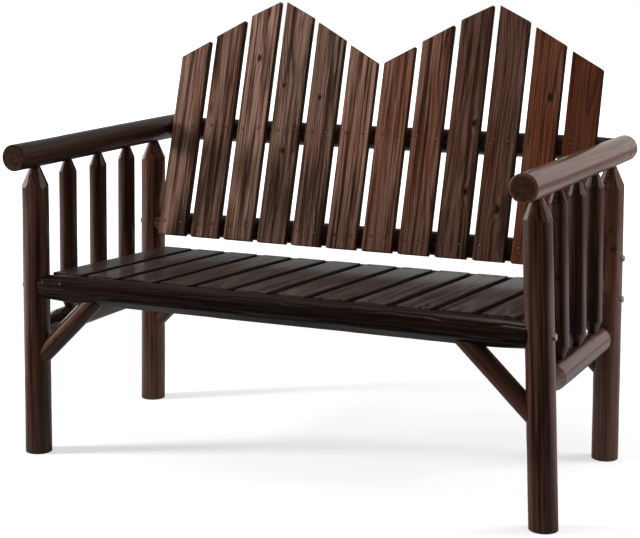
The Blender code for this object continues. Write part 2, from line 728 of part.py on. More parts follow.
def build_bolts(finish, posts, seat_rails, back_rails):
    """Bolts through the posts into the ends of the seat rails and of the lower back rail."""
    runs = (
        ("front_seat_bolt", False, FRONT_RAIL_HEIGHT, seat_rails[False]),
        ("rear_seat_bolt", True, REAR_RAIL_HEIGHT, seat_rails[True]),
        ("back_rail_bolt", True, LOWER_BACK_RAIL_HEIGHT, back_rails[False]),
    )
    seat = POST_DIAMETER - SPOTFACE_DEPTH + BOLT_DEPTH_IN_RAIL
    bore = bore_rings(seat, BOLT_SHANK_DIAMETER / 2, WASHER_DIAMETER / 2, SPOTFACE_DEPTH)
    tip_x = POST_X - POST_DIAMETER / 2 - BOLT_DEPTH_IN_RAIL
    for base_name, back, height, rail in runs:
        for side, side_name in SIDES:
            tip = Vector((side * tip_x, REAR_Y if back else FRONT_Y, height))
            name = base_name + "_" + side_name
            bored = (posts[side, back], rail)
            fit_fastener(name, bolt_rings(seat), bore, finish, tip, TO_RIGHT * side, bored)


def build_arm_screws(finish, arms, upper_rail):
    """Two screws through each arm into the end of the upper back rail."""
    seat = ARM_DIAMETER - ARM_SCREW_SPOTFACE_DEPTH + ARM_SCREW_DEPTH_IN_RAIL
    shank_radius = ARM_SCREW_SHANK_DIAMETER / 2
    bore = bore_rings(seat, shank_radius, ARM_SCREW_HEAD_DIAMETER / 2, ARM_SCREW_SPOTFACE_DEPTH)
    tip_x = POST_X - ARM_DIAMETER / 2 - ARM_SCREW_DEPTH_IN_RAIL
    for side, side_name in SIDES:
        for lift, lift_name in ((-1, "lower"), (1, "upper")):
            height = ARM_HEIGHT + lift * ARM_SCREW_SPACING / 2
            tip = Vector((side * tip_x, UPPER_RAIL_Y, height))
            name = "arm_screw_" + side_name + "_" + lift_name
            bored = (arms[side], upper_rail)
            fit_fastener(name, arm_screw_rings(seat), bore, finish, tip, TO_RIGHT * side, bored)


def build_stance():
    """A cage round the frame that shifts its corners out of square, and keeps the feet centred."""
    cage = bpy.data.lattices.new("stance")
    cage.points_u, cage.points_v, cage.points_w = 2, 2, 3
    cage.interpolation_type_u = "KEY_LINEAR"
    cage.interpolation_type_v = "KEY_LINEAR"
    cage.interpolation_type_w = "KEY_LINEAR"
    stance = bpy.data.objects.new("stance", cage)
    bpy.context.collection.objects.link(stance)
    stance.hide_render = True
    stance.location = (0, (FRONT_Y + REAR_Y) / 2, ARM_HEIGHT)
    stance.scale = (POST_SPACING_X, POST_SPACING_Y, ARM_HEIGHT)
    sideways_shares = [shares[0] for shares in FOOT_SHIFT_SHARES]
    centring = TO_RIGHT * (max(sideways_shares) + min(sideways_shares)) / 2
    for point, shares in zip(cage.points, FOOT_SHIFT_SHARES + ARM_SHIFT_SHARES + TOP_SHIFT_SHARES):
        shift = (Vector(shares) - centring) * OUT_OF_SQUARE
        point.co_deform = [place + part / size for place, part, size in zip(point.co, shift, stance.scale)]
    return stance


def set_out_of_square(stance):
    """Let every piece of the bench follow the cage."""
    for piece in bpy.context.collection.objects:
        if piece.type == "MESH" and not piece.hide_render:
            piece.modifiers.new("stance", "LATTICE").object = stance


def main():
    """Build the bench."""
    clear_scene()
    log_wood = make_material("log_wood", (0.045, 0.022, 0.015), 0.38)
    seat_wood = make_material("seat_wood", (0.04, 0.026, 0.022), 0.4)
    back_wood = make_material("back_wood", (0.105, 0.05, 0.032), 0.5)
    zinc = make_material("zinc_fastener", (0.55, 0.47, 0.36), 0.3, 1)
    posts = build_posts(log_wood)
    arms = build_arms(log_wood)
    side_rails = build_side_rails(log_wood, posts)
    build_balusters(log_wood, arms, side_rails)
    seat_rails = build_seat_rails(log_wood)
    back_rails = build_back_rails(log_wood)
    build_seat_slats(seat_wood)
    build_back_slats(back_wood)
    build_braces(log_wood)
    build_bolts(zinc, posts, seat_rails, back_rails)
    build_arm_screws(zinc, arms, back_rails[True])
    rounds = list(posts.values()) + list(arms.values()) + list(side_rails.values())
    for piece in rounds + list(seat_rails.values()) + list(back_rails.values()):
        shade_round(piece)
    set_out_of_square(build_stance())


main()
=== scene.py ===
"""The looks of a rustic patio bench: peeled logs, sawn slats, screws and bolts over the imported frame."""

import math
import random
from typing import NamedTuple

import bmesh
import bpy
import numpy as np
from bpy.props import FloatProperty, FloatVectorProperty, IntProperty, PointerProperty
from bpy.types import Operator, Panel, PropertyGroup
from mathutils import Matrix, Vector


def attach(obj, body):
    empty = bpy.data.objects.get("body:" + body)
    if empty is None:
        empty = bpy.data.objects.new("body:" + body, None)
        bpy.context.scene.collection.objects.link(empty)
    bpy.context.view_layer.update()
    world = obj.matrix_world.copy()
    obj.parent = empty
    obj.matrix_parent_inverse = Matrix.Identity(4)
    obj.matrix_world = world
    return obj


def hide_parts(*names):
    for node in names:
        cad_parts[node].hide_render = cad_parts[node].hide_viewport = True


bl_info = {
    "name": "Rustic Patio Bench",
    "version": (1, 0, 0),
    "blender": (4, 5, 0),
    "location": "View3D > Sidebar > Bench",
    "description": "Dresses the frame of a log bench with whittled logs, sawn slats and their screws",
    "category": "Add Mesh",
}

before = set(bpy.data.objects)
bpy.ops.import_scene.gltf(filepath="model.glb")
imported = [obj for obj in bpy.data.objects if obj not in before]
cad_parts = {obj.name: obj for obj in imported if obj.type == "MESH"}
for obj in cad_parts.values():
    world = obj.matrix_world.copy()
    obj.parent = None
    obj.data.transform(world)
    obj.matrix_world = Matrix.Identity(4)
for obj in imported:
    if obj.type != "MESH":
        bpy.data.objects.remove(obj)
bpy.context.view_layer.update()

SIDES = ("left", "right")
ENDS = ("front", "rear")
SLAT_COUNT = sum(1 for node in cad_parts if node.startswith("back_slat"))

# least cosine by which a flat's reach is divided, so that it stays finite at the flat's sides
LEAST_COSINE = 0.2
# span of the phases and turns that are left to chance, nearly a full turn
CHANCE_TURN = 6.28
# span of the places from which the pieces take their grain, so that no two look the same
GRAIN_SPAN = 9


def colour(text, red, green, blue):
    """A colour setting."""
    return FloatVectorProperty(
        name=text, description=text, default=(red, green, blue), size=3, subtype="COLOR", min=0, max=1
    )


def length(text, metres):
    """A length setting."""
    return FloatProperty(name=text, description=text, default=metres, unit="LENGTH", precision=4)


class BenchLogs(PropertyGroup):
    """Sizes of the peeled logs."""

    post_taper: length("Length of the whittled top of a post", 0.0425)
    post_tenon: length("Length of a post's tenon", 0.032)
    post_tenon_radius: length("Radius of a post's tenon", 0.0115)
    rail_taper: length("Length of the whittled ends of a side rail", 0.052)
    rail_tenon: length("Length of a side rail's tenons", 0.03)
    rail_tenon_radius: length("Radius of a side rail's tenons", 0.0155)
    baluster_taper: length("Length of the whittled ends of a baluster", 0.026)
    baluster_tenon: length("Length of a baluster's tenons", 0.02)
    baluster_tenon_radius: length("Radius of a baluster's tenons", 0.0095)
    tenon_lip: length("Step from a whittled tip to its tenon", 0.0008)
    arm_rounding: length("Rounding of the sawn ends of the arms", 0.003)
    foot_rounding: length("Rounding of the feet", 0.003)
    seat_rail_taper: length("Length over which the seat rails thin", 0.09)
    back_rail_taper: length("Length over which the back rails thin", 0.06)
    facets: IntProperty(name="Facets", description="Knife cuts round a whittled end", default=15, min=6)


class BenchSlats(PropertyGroup):
    """Sizes of the slats and their screws."""

    rounding: length("Rounding of a slat's edges", 0.0022)
    across: IntProperty(name="Cells across", description="Mesh cells across a slat", default=32, min=8)
    through: IntProperty(name="Cells through", description="Mesh cells through a slat", default=5, min=3)
    cell: length("Length of a mesh cell along a slat", 0.0036)
    screw_head: length("Diameter of a slat screw's head", 0.006)
    screw_rise: length("Height of a slat screw's head", 0.0015)
    screw_cross: length("Width of a slat screw's cross", 0.0011)
    pit: length("Radius of the sunk wood round a screw", 0.0052)
    pit_depth: length("Depth of the sunk wood round a screw", 0.0014)


class BenchFasteners(PropertyGroup):
    """Sizes of the bolts through the posts and of the screws through the arms."""

    bolt_shank: length("Radius of a bolt's shank", 0.004)
    bolt_point: length("Length and narrowing of a bolt's point", 0.0015)
    washer: length("Thickness of a bolt's washer", 0.0016)
    washer_easing: length("Rounding of a washer's edge", 0.0004)
    bolt_head: length("Distance from the axis to a flat of a bolt's head", 0.0066)
    bolt_head_height: length("Height of a bolt's head", 0.0053)
    bolt_crown: length("Height of the rounded crown of a bolt's head", 0.0013)
    screw_shank: length("Radius of an arm screw's shank", 0.0025)
    screw_point: length("Length of an arm screw's point", 0.003)
    screw_point_radius: length("Radius of an arm screw's point", 0.001)
    screw_head_height: length("Height of an arm screw's head", 0.003)
    screw_head_side: length("Height of the upright side of an arm screw's head", 0.001)
    screw_crown: length("Height of the crown of an arm screw's head", 0.0008)


class BenchFinish(PropertyGroup):
    """Colours of the stained wood and the fasteners."""

    log_dark: colour("Dark of the logs", 0.005, 0.0019, 0.0013)
    log_middle: colour("Middle of the logs", 0.024, 0.0087, 0.0052)
    log_light: colour("Light of the logs", 0.074, 0.03, 0.018)
    log_red: colour("Red of the logs", 0.045, 0.014, 0.0075)
    seat_dark: colour("Dark of the seat", 0.003, 0.0018, 0.0016)
    seat_middle: colour("Middle of the seat", 0.022, 0.0125, 0.0105)
    seat_light: colour("Light of the seat", 0.085, 0.056, 0.048)
    seat_red: colour("Red of the seat", 0.03, 0.013, 0.0095)
    back_dark: colour("Dark of the back", 0.01, 0.0042, 0.003)
    back_middle: colour("Middle of the back", 0.07, 0.033, 0.022)
    back_light: colour("Light of the back", 0.215, 0.128, 0.096)
    back_red: colour("Red of the back", 0.14, 0.037, 0.014)
    sheen: colour("Warmth of the gloss of the logs and the back", 1.0, 0.7, 0.52)
    seat_sheen: colour("Warmth of the gloss of the seat", 1.0, 0.92, 0.88)
    bolt: colour("Zinc of the bolts", 0.8, 0.68, 0.56)
    screw: colour("Dull zinc of the slat screws", 0.6, 0.46, 0.33)


def place_of(text, *metres):
    """A setting of a place or of a shift from one."""
    return FloatVectorProperty(name=text, description=text, default=metres, unit="LENGTH", precision=4)


class BenchStance(PropertyGroup):
    """The cage that leans each post its own way, as in the frame."""

    spacing_x: length("Between the axes of the left and right posts", 1.155)
    spacing_y: length("Between the axes of the front and rear posts", 0.498)
    front_y: length("Place of the front posts", -0.274)
    arm_height: length("Height of the arms' axes", 0.679)
    foot_0: place_of("Front left foot", -0.0075, 0.003, 0)
    foot_1: place_of("Front right foot", 0.0266, -0.006, 0)
    foot_2: place_of("Rear left foot", -0.011, 0.009, 0)
    foot_3: place_of("Rear right foot", 0.0037, 0, 0)
    arm_0: place_of("Front left of the arms", 0.0044, 0, -0.0047)
    arm_1: place_of("Front right of the arms", -0.0033, 0, 0.0015)
    arm_2: place_of("Rear left of the arms", 0.0065, 0, -0.001)
    arm_3: place_of("Rear right of the arms", 0.001, 0, 0.0025)
    top_0: place_of("Front left, twice as high", 0, 0, 0)
    top_1: place_of("Front right, twice as high", 0, 0, 0)
    top_2: place_of("Rear left, twice as high", 0, -0.009, 0)
    top_3: place_of("Rear right, twice as high", 0, 0, 0)


def angle(text, radians):
    """A setting of a turn."""
    return FloatProperty(name=text, description=text, default=radians, subtype="ANGLE")


def power(text, watts):
    """A setting of a lamp's power."""
    return FloatProperty(name=text, description=text, default=watts, unit="POWER")


class BenchStage(PropertyGroup):
    """Camera, lamps and floor."""

    camera: place_of("Place of the camera", 1.5677, -3.3373, 1.1366)
    yaw: angle("Turn of the camera", 0.44416)
    pitch: angle("Tilt of the camera", -0.15466)
    focal: FloatProperty(name="Lens", description="Focal length of the lens", default=95.54, unit="CAMERA")
    shift: FloatProperty(name="Shift", description="Vertical shift of the frame", default=-0.1)
    window_power: power("Power of the low lamp on the left", 210)
    sky_power: power("Power of the lamp overhead", 34)
    front_power: power("Power of the soft lamp in front", 16)
    side_power: power("Power of the lamp behind on the right", 115)
    floor: length("Half width of the floor", 14)


def settings(group):
    """The settings of one group, such as bench_logs."""
    return getattr(bpy.context.scene, group)


class Socket:
    """An output of a node, or a number, that takes part in arithmetic."""

    def __init__(self, nodes, socket):
        self.nodes = nodes
        self.socket = socket

    def maths(self, operation, *values):
        """Put the values through one Math node."""
        inputs = dict(enumerate(values))
        return self.nodes.add("ShaderNodeMath", {"operation": operation}, inputs)

    def __add__(self, other):
        return self.maths("ADD", self, other)

    def __radd__(self, other):
        return self.maths("ADD", other, self)

    def __sub__(self, other):
        return self.maths("SUBTRACT", self, other)

    def __rsub__(self, other):
        return self.maths("SUBTRACT", other, self)

    def __mul__(self, other):
        return self.maths("MULTIPLY", self, other)

    def __rmul__(self, other):
        return self.maths("MULTIPLY", other, self)

    def __truediv__(self, other):
        return self.maths("DIVIDE", self, other)

    def __rtruediv__(self, other):
        return self.maths("DIVIDE", other, self)

    def fraction(self):
        """The part after the point."""
        return self.maths("FRACT", self)

    def within(self, low, high):
        """The value spread from low..high to 0..1, with soft ends."""
        spread = {"interpolation_type": "SMOOTHSTEP"}
        return self.nodes.add("ShaderNodeMapRange", spread, {0: self, 1: low, 2: high})

    def clipped(self):
        """The value held between 0 and 1."""
        return self.nodes.add("ShaderNodeClamp", {}, {0: self})


class Nodes:
    """Adds nodes to a tree of any kind."""

    def __init__(self, tree):
        self.tree = tree
        tree.nodes.clear()

    def add(self, kind, options=None, inputs=None, output=0):
        """Add a node, with its options set first and then its inputs, and return one of its outputs."""
        node = self.tree.nodes.new(kind)
        for name, value in (options or {}).items():
            if name == "stops":
                self.set_stops(node.color_ramp, value)
            else:
                setattr(node, name, value)
        for key, value in (inputs or {}).items():
            target = node.inputs[key]
            for item in value if isinstance(value, list) else [value]:
                if isinstance(item, Socket):
                    self.tree.links.new(item.socket, target)
                else:
                    target.default_value = item
        return Socket(self, node.outputs[output]) if len(node.outputs) else node

    def set_stops(self, ramp, stops):
        """Set the stops of a colour ramp."""
        while len(ramp.elements) < len(stops):
            ramp.elements.new(1)
        for element, (place, shade) in zip(ramp.elements, stops):
            element.position = place
            element.color = (*shade, 1) if hasattr(shade, "__len__") else (shade, shade, shade, 1)

    def mix(self, factor, first, second, blend="MIX"):
        """Mix two colours."""
        first = (*first, 1) if not isinstance(first, Socket) else first
        second = (*second, 1) if not isinstance(second, Socket) else second
        options = {"data_type": "RGBA", "blend_type": blend}
        return self.add("ShaderNodeMix", options, {0: factor, 6: first, 7: second}, 2)

    def parts(self, vector):
        """The three parts of a vector."""
        return [self.add("ShaderNodeSeparateXYZ", {}, {0: vector}, part) for part in range(3)]

    def attribute(self, name, output=2):
        """Read a named attribute of the mesh, as a number by default."""
        return self.add("ShaderNodeAttribute", {"attribute_name": name}, {}, output)

    def stretched(self, vector, scales):
        """A vector scaled by another."""
        return self.add("ShaderNodeVectorMath", {"operation": "MULTIPLY"}, {0: vector, 1: scales})

    def noise(self, vector, scales, detail=2.0, roughness=0.5):
        """Noise from 0 to 1 on a stretched vector."""
        place = self.stretched(vector, scales)
        inputs = {"Vector": place, "Detail": detail, "Roughness": roughness, "Scale": 1.0}
        return self.add("ShaderNodeTexNoise", {}, inputs)


def new_material(name):
    """A material with an empty tree, and its nodes."""
    material = bpy.data.materials.new(name)
    material.use_nodes = True
    return material, Nodes(material.node_tree)


def finish_material(nodes, shader):
    """Join a shader to the material's output."""
    nodes.add("ShaderNodeOutputMaterial", {}, {"Surface": shader})


class Stain(NamedTuple):
    """What sets one stained wood apart from another."""

    dark: tuple
    middle: tuple
    light: tuple
    red: tuple
    ring_spacing: float
    contrast: float
    roughness: float
    relief: float
    gloss: float
    gloss_tint: tuple
    coat: float
    # share of the colour that the sides of slats keep, darkened as painted shade between the slats
    side_shade: float


# turns of the growth rings, as shares of their spacing, and how dark the late wood is there
LATE_WOOD_STOPS = [(0.0, 0.0), (0.5, 0.08), (0.86, 0.85), (0.95, 1.0), (1.0, 0.0)]
COAT_ROUGHNESS = 0.14


def stained_wood(name, stain):
    """Stained wood with growth rings, streaks, knots and dark ends, read from the mesh's attributes."""
    dark, middle, light, red = (tuple(shade) for shade in stain[:4])
    material, nodes = new_material(name)
    grain = nodes.attribute("grain", 1)
    ring = nodes.attribute("ring")
    knot = nodes.attribute("knot")
    edge = nodes.attribute("edge")
    cut_end = nodes.attribute("cut_end")
    tone = nodes.attribute("tone", 1)
    lightness, redness, calm = nodes.parts(tone)

    # noise that is drawn out along the grain, from wide patches to fine pores
    drift = nodes.noise(grain, (24, 24, 2.2), 3.0)
    patches = nodes.noise(grain, (17, 17, 3.4), 2.0)
    streaks = nodes.noise(grain, (120, 120, 3.2), 5.0, 0.62)
    fibres = nodes.noise(grain, (400, 400, 8), 4.0, 0.65)
    pores = nodes.noise(grain, (330, 330, 7), 2.0, 0.5)

    # growth rings that wander a little and are fainter in places
    turns = (ring + (drift - 0.5) * (stain.ring_spacing * 1.3)) / stain.ring_spacing
    lines = nodes.add("ShaderNodeValToRGB", {"stops": LATE_WOOD_STOPS}, {0: turns.fraction()})
    line_strength = patches.within(0.3, 0.7) * 0.55 + 0.45
    lines = lines * line_strength

    # streaks from the middle tone to the light one, reddened in patches, under dark pores, rings and
    # knots, and under painted shade in furrows and round sunk screws, which comes in with the knots
    body = nodes.mix(streaks.within(0.36, 0.64) * (1 - calm) + calm * 0.5, middle, light)
    reddening = ((patches - 0.45) * 1.6 + redness).clipped()
    body = nodes.mix(reddening, body, red)
    soot = ((0.52 - streaks).within(0.0, 0.22) + pores.within(0.56, 0.7) * 0.85).clipped()
    figure = stain.contrast * (1 - calm)
    body = nodes.mix(soot * figure, body, dark)
    body = nodes.mix(lines * figure, body, dark)
    body = nodes.mix(knot.within(0.12, 0.8), body, dark)

    # fibres, the piece's lightness (partly painted light and shade on some logs and back slats), painted
    # shade on the slats' sides, and darker sawn ends
    shade = 0.62 + fibres * 0.76
    shade = shade * (1 + lightness * (1 - cut_end))
    side = edge.within(0.75, 1.0)
    shade = shade * (1 - side * (1 - stain.side_shade))
    shade = shade * (1 - cut_end * 0.35)
    grey = nodes.add("ShaderNodeCombineColor", {}, {0: shade, 1: shade, 2: shade})
    body = nodes.mix(1.0, body, grey, "MULTIPLY")

    # rings, sawn ends and sides are duller, and the pores and rings lie a little deeper
    rough = stain.roughness + (streaks - 0.5) * 0.22 + lines * 0.1
    rough = rough + cut_end * 0.18 + knot * 0.1 + side * 0.3
    height = fibres * 0.3 + pores * 0.35 - lines * 0.5 - soot * 0.25 - knot * 0.2
    relief = {"Strength": 0.55, "Distance": stain.relief, "Height": height}
    bump = nodes.add("ShaderNodeBump", {}, relief)
    shader = nodes.add(
        "ShaderNodeBsdfPrincipled",
        {},
        {
            "Base Color": body,
            "Roughness": rough.clipped(),
            "Normal": bump,
            "Specular IOR Level": stain.gloss,
            "Specular Tint": (*stain.gloss_tint, 1),
            "Coat Weight": (1 - cut_end) * (1 - side) * stain.coat,
            "Coat Roughness": COAT_ROUGHNESS,
        },
    )
    finish_material(nodes, shader)
    return material


def plated_metal(name, tint):
    """Plated steel with faint scratches and a dull bloom."""
    material, nodes = new_material(name)
    place = nodes.add("ShaderNodeTexCoord", {}, {}, 3)
    bloom = nodes.noise(place, (190, 190, 190), 3.0)
    scratches = nodes.noise(place, (2600, 500, 2600), 2.0)
    dull = tuple(part * 0.55 for part in tint)
    body = nodes.mix(bloom.within(0.35, 0.7), tint, dull)
    rough = 0.24 + bloom * 0.16 + scratches * 0.14
    bump = nodes.add("ShaderNodeBump", {}, {"Strength": 0.3, "Distance": 0.0001, "Height": scratches})
    inputs = {"Base Color": body, "Metallic": 1.0, "Roughness": rough, "Normal": bump}
    finish_material(nodes, nodes.add("ShaderNodeBsdfPrincipled", {}, inputs))
    return material


def log_stain(tones):
    """The glossy dark stain of the peeled logs."""
    return Stain(
        dark=tones.log_dark,
        middle=tones.log_middle,
        light=tones.log_light,
        red=tones.log_red,
        ring_spacing=0.0034,
        contrast=0.8,
        roughness=0.34,
        relief=0.0006,
        gloss=0.4,
        gloss_tint=tones.sheen,
        coat=0.55,
        side_shade=1,
    )


def seat_stain(tones):
    """The nearly black stain of the seat, with painted shade on the sides between the slats."""
    return Stain(
        dark=tones.seat_dark,
        middle=tones.seat_middle,
        light=tones.seat_light,
        red=tones.seat_red,
        ring_spacing=0.0042,
        contrast=0.85,
        roughness=0.42,
        relief=0.0018,
        gloss=0.2,
        gloss_tint=tones.seat_sheen,
        coat=0.25,
        side_shade=0.1,
    )


def back_stain(tones):
    """The lighter, matt stain of the back slats."""
    return Stain(
        dark=tones.back_dark,
        middle=tones.back_middle,
        light=tones.back_light,
        red=tones.back_red,
        ring_spacing=0.0046,
        contrast=0.85,
        roughness=0.58,
        relief=0.0009,
        gloss=0.3,
        gloss_tint=tones.sheen,
        coat=0,
        side_shade=0.3,
    )


STAINS = {"log_stain": log_stain, "seat_stain": seat_stain, "back_stain": back_stain}


def finish_of(kind):
    """The material of a kind of piece, made once."""
    if kind in bpy.data.materials:
        return bpy.data.materials[kind]
    tones = settings("bench_finish")
    if kind in STAINS:
        return stained_wood(kind, STAINS[kind](tones))
    return plated_metal(kind, tuple(tones.screw if kind == "dull_zinc" else tones.bolt))


def mesh_points(mesh):
    """The corners of a mesh, as an array."""
    points = np.empty(len(mesh.vertices) * 3)
    mesh.vertices.foreach_get("co", points)
    return points.reshape(-1, 3)


class Stance:
    """Moves points between the square frame, in which the pieces are shaped, and the leaning one."""

    def __init__(self):
        self.sizes = settings("bench_stance")
        levels = ("foot_", "arm_", "top_")
        corners = [getattr(self.sizes, level + str(place)) for level in levels for place in range(4)]
        shifts = np.array([tuple(corner) for corner in corners])
        shifts[:, 0] -= (shifts[:4, 0].max() + shifts[:4, 0].min()) / 2
        self.shifts = shifts.reshape(3, 2, 2, 3)

    def shift(self, points):
        """How far some points of the square frame are shifted."""
        across = np.clip(points[:, 0] / self.sizes.spacing_x + 0.5, 0, 1)
        behind = np.clip((points[:, 1] - self.sizes.front_y) / self.sizes.spacing_y, 0, 1)
        height = np.clip(points[:, 2] / self.sizes.arm_height, 0, 2)
        level = np.minimum(height.astype(int), 1)
        rise = (height - level)[:, None]
        total = np.zeros(points.shape)
        for back, back_share in enumerate((1 - behind, behind)):
            for right, right_share in enumerate((1 - across, across)):
                low = self.shifts[level, back, right]
                high = self.shifts[level + 1, back, right]
                total += (back_share * right_share)[:, None] * (low + (high - low) * rise)
        return total

    def lean(self, points):
        """Where some points of the square frame stand in the leaning one."""
        return points + self.shift(points)

    def square(self, points):
        """Where some points of the leaning frame stand in the square one."""
        found = points
        # the shifts are small and change slowly, so that a few steps come close enough
        for _ in range(6):
            found = points - self.shift(found)
        return found


def square_points(node):
    """The corners of a node, as they stand in the square frame."""
    return Stance().square(mesh_points(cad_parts[node].data))


def lean_mesh(mesh):
    """Lean a mesh that was shaped in the square frame."""
    mesh.vertices.foreach_set("co", Stance().lean(mesh_points(mesh)).ravel())
    mesh.update()


def add_values(mesh, name, values):
    """Store one number or vector at each vertex."""
    values = np.asarray(values, dtype=float)
    if values.ndim == 1:
        mesh.attributes.new(name, "FLOAT", "POINT").data.foreach_set("value", values)
    else:
        mesh.attributes.new(name, "FLOAT_VECTOR", "POINT").data.foreach_set("vector", values.ravel())


def show_piece(mesh, name, kind, nodes, sharp=18):
    """Put a finished mesh in the scene as a piece that stands for some nodes of the frame."""
    mesh.materials.clear()
    mesh.materials.append(finish_of(kind))
    mesh.shade_smooth()
    mesh.set_sharp_from_angle(angle=math.radians(sharp))
    piece = bpy.data.objects.new(name, mesh)
    bpy.context.scene.collection.objects.link(piece)
    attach(piece, "root")
    if nodes:
        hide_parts(*nodes)
    return piece


def closed_mesh(name, points, loops, near_tip, far_tip):
    """A closed mesh from rows of points that share their columns, with a tip point beyond each end."""
    rows, columns = loops
    index = np.arange(rows * columns).reshape(rows, columns)
    following = np.roll(index, -1, axis=1)
    quads = np.stack([index[:-1], following[:-1], following[1:], index[1:]], axis=-1).reshape(-1, 4)
    faces = quads.tolist()
    near = rows * columns
    far = near + 1
    faces += [(near, second, first) for first, second in zip(index[0].tolist(), following[0].tolist())]
    faces += [(far, first, second) for first, second in zip(index[-1].tolist(), following[-1].tolist())]
    mesh = bpy.data.meshes.new(name)
    mesh.from_pydata(np.vstack([points, near_tip, far_tip]).tolist(), [], faces)
    work = bmesh.new()
    work.from_mesh(mesh)
    bmesh.ops.recalc_face_normals(work, faces=work.faces)
    work.to_mesh(mesh)
    work.free()
    return mesh


class Whittled:
    """An end pared by a knife to flat facets, with a round tenon beyond."""

    # distance between stations, how far they go on past the taper, and easing of the tenon's edge
    STEP = 0.0014
    MARGIN = 0.006
    TENON_EASING = 0.0015

    def __init__(self, taper, tip_radius, tenon_radius, tenon):
        self.taper = taper
        self.tip_radius = tip_radius
        self.tenon_radius = tenon_radius
        self.tenon = tenon

    def distances(self):
        """Stations from the tip inwards."""
        return list(np.arange(0, self.taper + self.MARGIN, self.STEP))

    def limit(self, distance, turn, log):
        """The reach of the facets at each place."""
        reach = np.full(distance.shape, np.inf)
        for facet, lean in zip(log.facet_turns, log.facet_leans):
            flat = self.tip_radius + (log.radius - self.tip_radius) * distance / (self.taper * lean)
            facing = np.maximum(np.cos(turn - facet), LEAST_COSINE)
            reach = np.minimum(reach, flat / facing)
        return reach

    def cap(self, log):
        """Distance beyond the tip and radius of the rings of the tenon."""
        shoulder = (self.tenon - self.TENON_EASING, self.tenon_radius)
        return [(0, self.tenon_radius), shoulder, (self.tenon, self.tenon_radius - self.TENON_EASING)]


class Sawn:
    """An end sawn square, with its edge rounded."""

    # stations past the rounding, shares of the face at its rings, and the widest swell of a log
    FURTHER_STATIONS = (0.004, 0.01)
    FACE_SHARES = (0.85, 0.6, 0.35, 0.15)
    SWELL_SHARE = 1.02

    def __init__(self, rounding):
        self.rounding = rounding

    def distances(self):
        """Stations from the end face inwards."""
        arc = [self.rounding * (1 - math.sin(math.radians(turn))) for turn in range(90, -1, -15)]
        return arc + [self.rounding + further for further in self.FURTHER_STATIONS]

    def limit(self, distance, turn, log):
        """The reach of the rounded edge at each place."""
        inside = np.clip(1 - distance / self.rounding, 0, 1)
        return log.radius * self.SWELL_SHARE - self.rounding * (1 - np.sqrt(1 - inside**2))

    def cap(self, log):
        """Rings of the flat end face."""
        face = log.radius - self.rounding
        return [(0, face * share) for share in self.FACE_SHARES]


class Fitted:
    """An end hollowed to fit against another log."""

    # stations from the hollow, shares of the radius at the rings in it, the length over which it moves
    # the stations, and how far it reaches into the other log
    STATIONS = (0, 0.002, 0.005, 0.01, 0.018, 0.027)
    FACE_SHARES = (0.75, 0.5, 0.25)
    FADE_LENGTH = 0.08
    SINK = 0.0004

    def __init__(self, other):
        self.other = other

    def distances(self):
        """Stations from the hollow inwards."""
        return list(self.STATIONS)

    def limit(self, distance, turn, log):
        """A fitted end has no limit of its own."""
        return np.full(distance.shape, np.inf)

    def start(self, log, turn, radius, sign):
        """How far from the log's own end each line of its surface meets the other log."""
        base = log.start if sign > 0 else log.start + log.direction * log.length
        offsets = base + radius[:, None] * (
            np.cos(turn)[:, None] * log.across + np.sin(turn)[:, None] * log.upward
        )
        along = self.other.direction
        away = offsets - self.other.start
        away = away - (away @ along)[:, None] * along
        step = sign * log.direction
        step = step - (step @ along) * along
        a = step @ step
        b = away @ step
        c = (away * away).sum(axis=1) - (self.other.radius - self.SINK) ** 2
        return np.maximum((-b + np.sqrt(np.maximum(b * b - a * c, 0))) / a, 0)


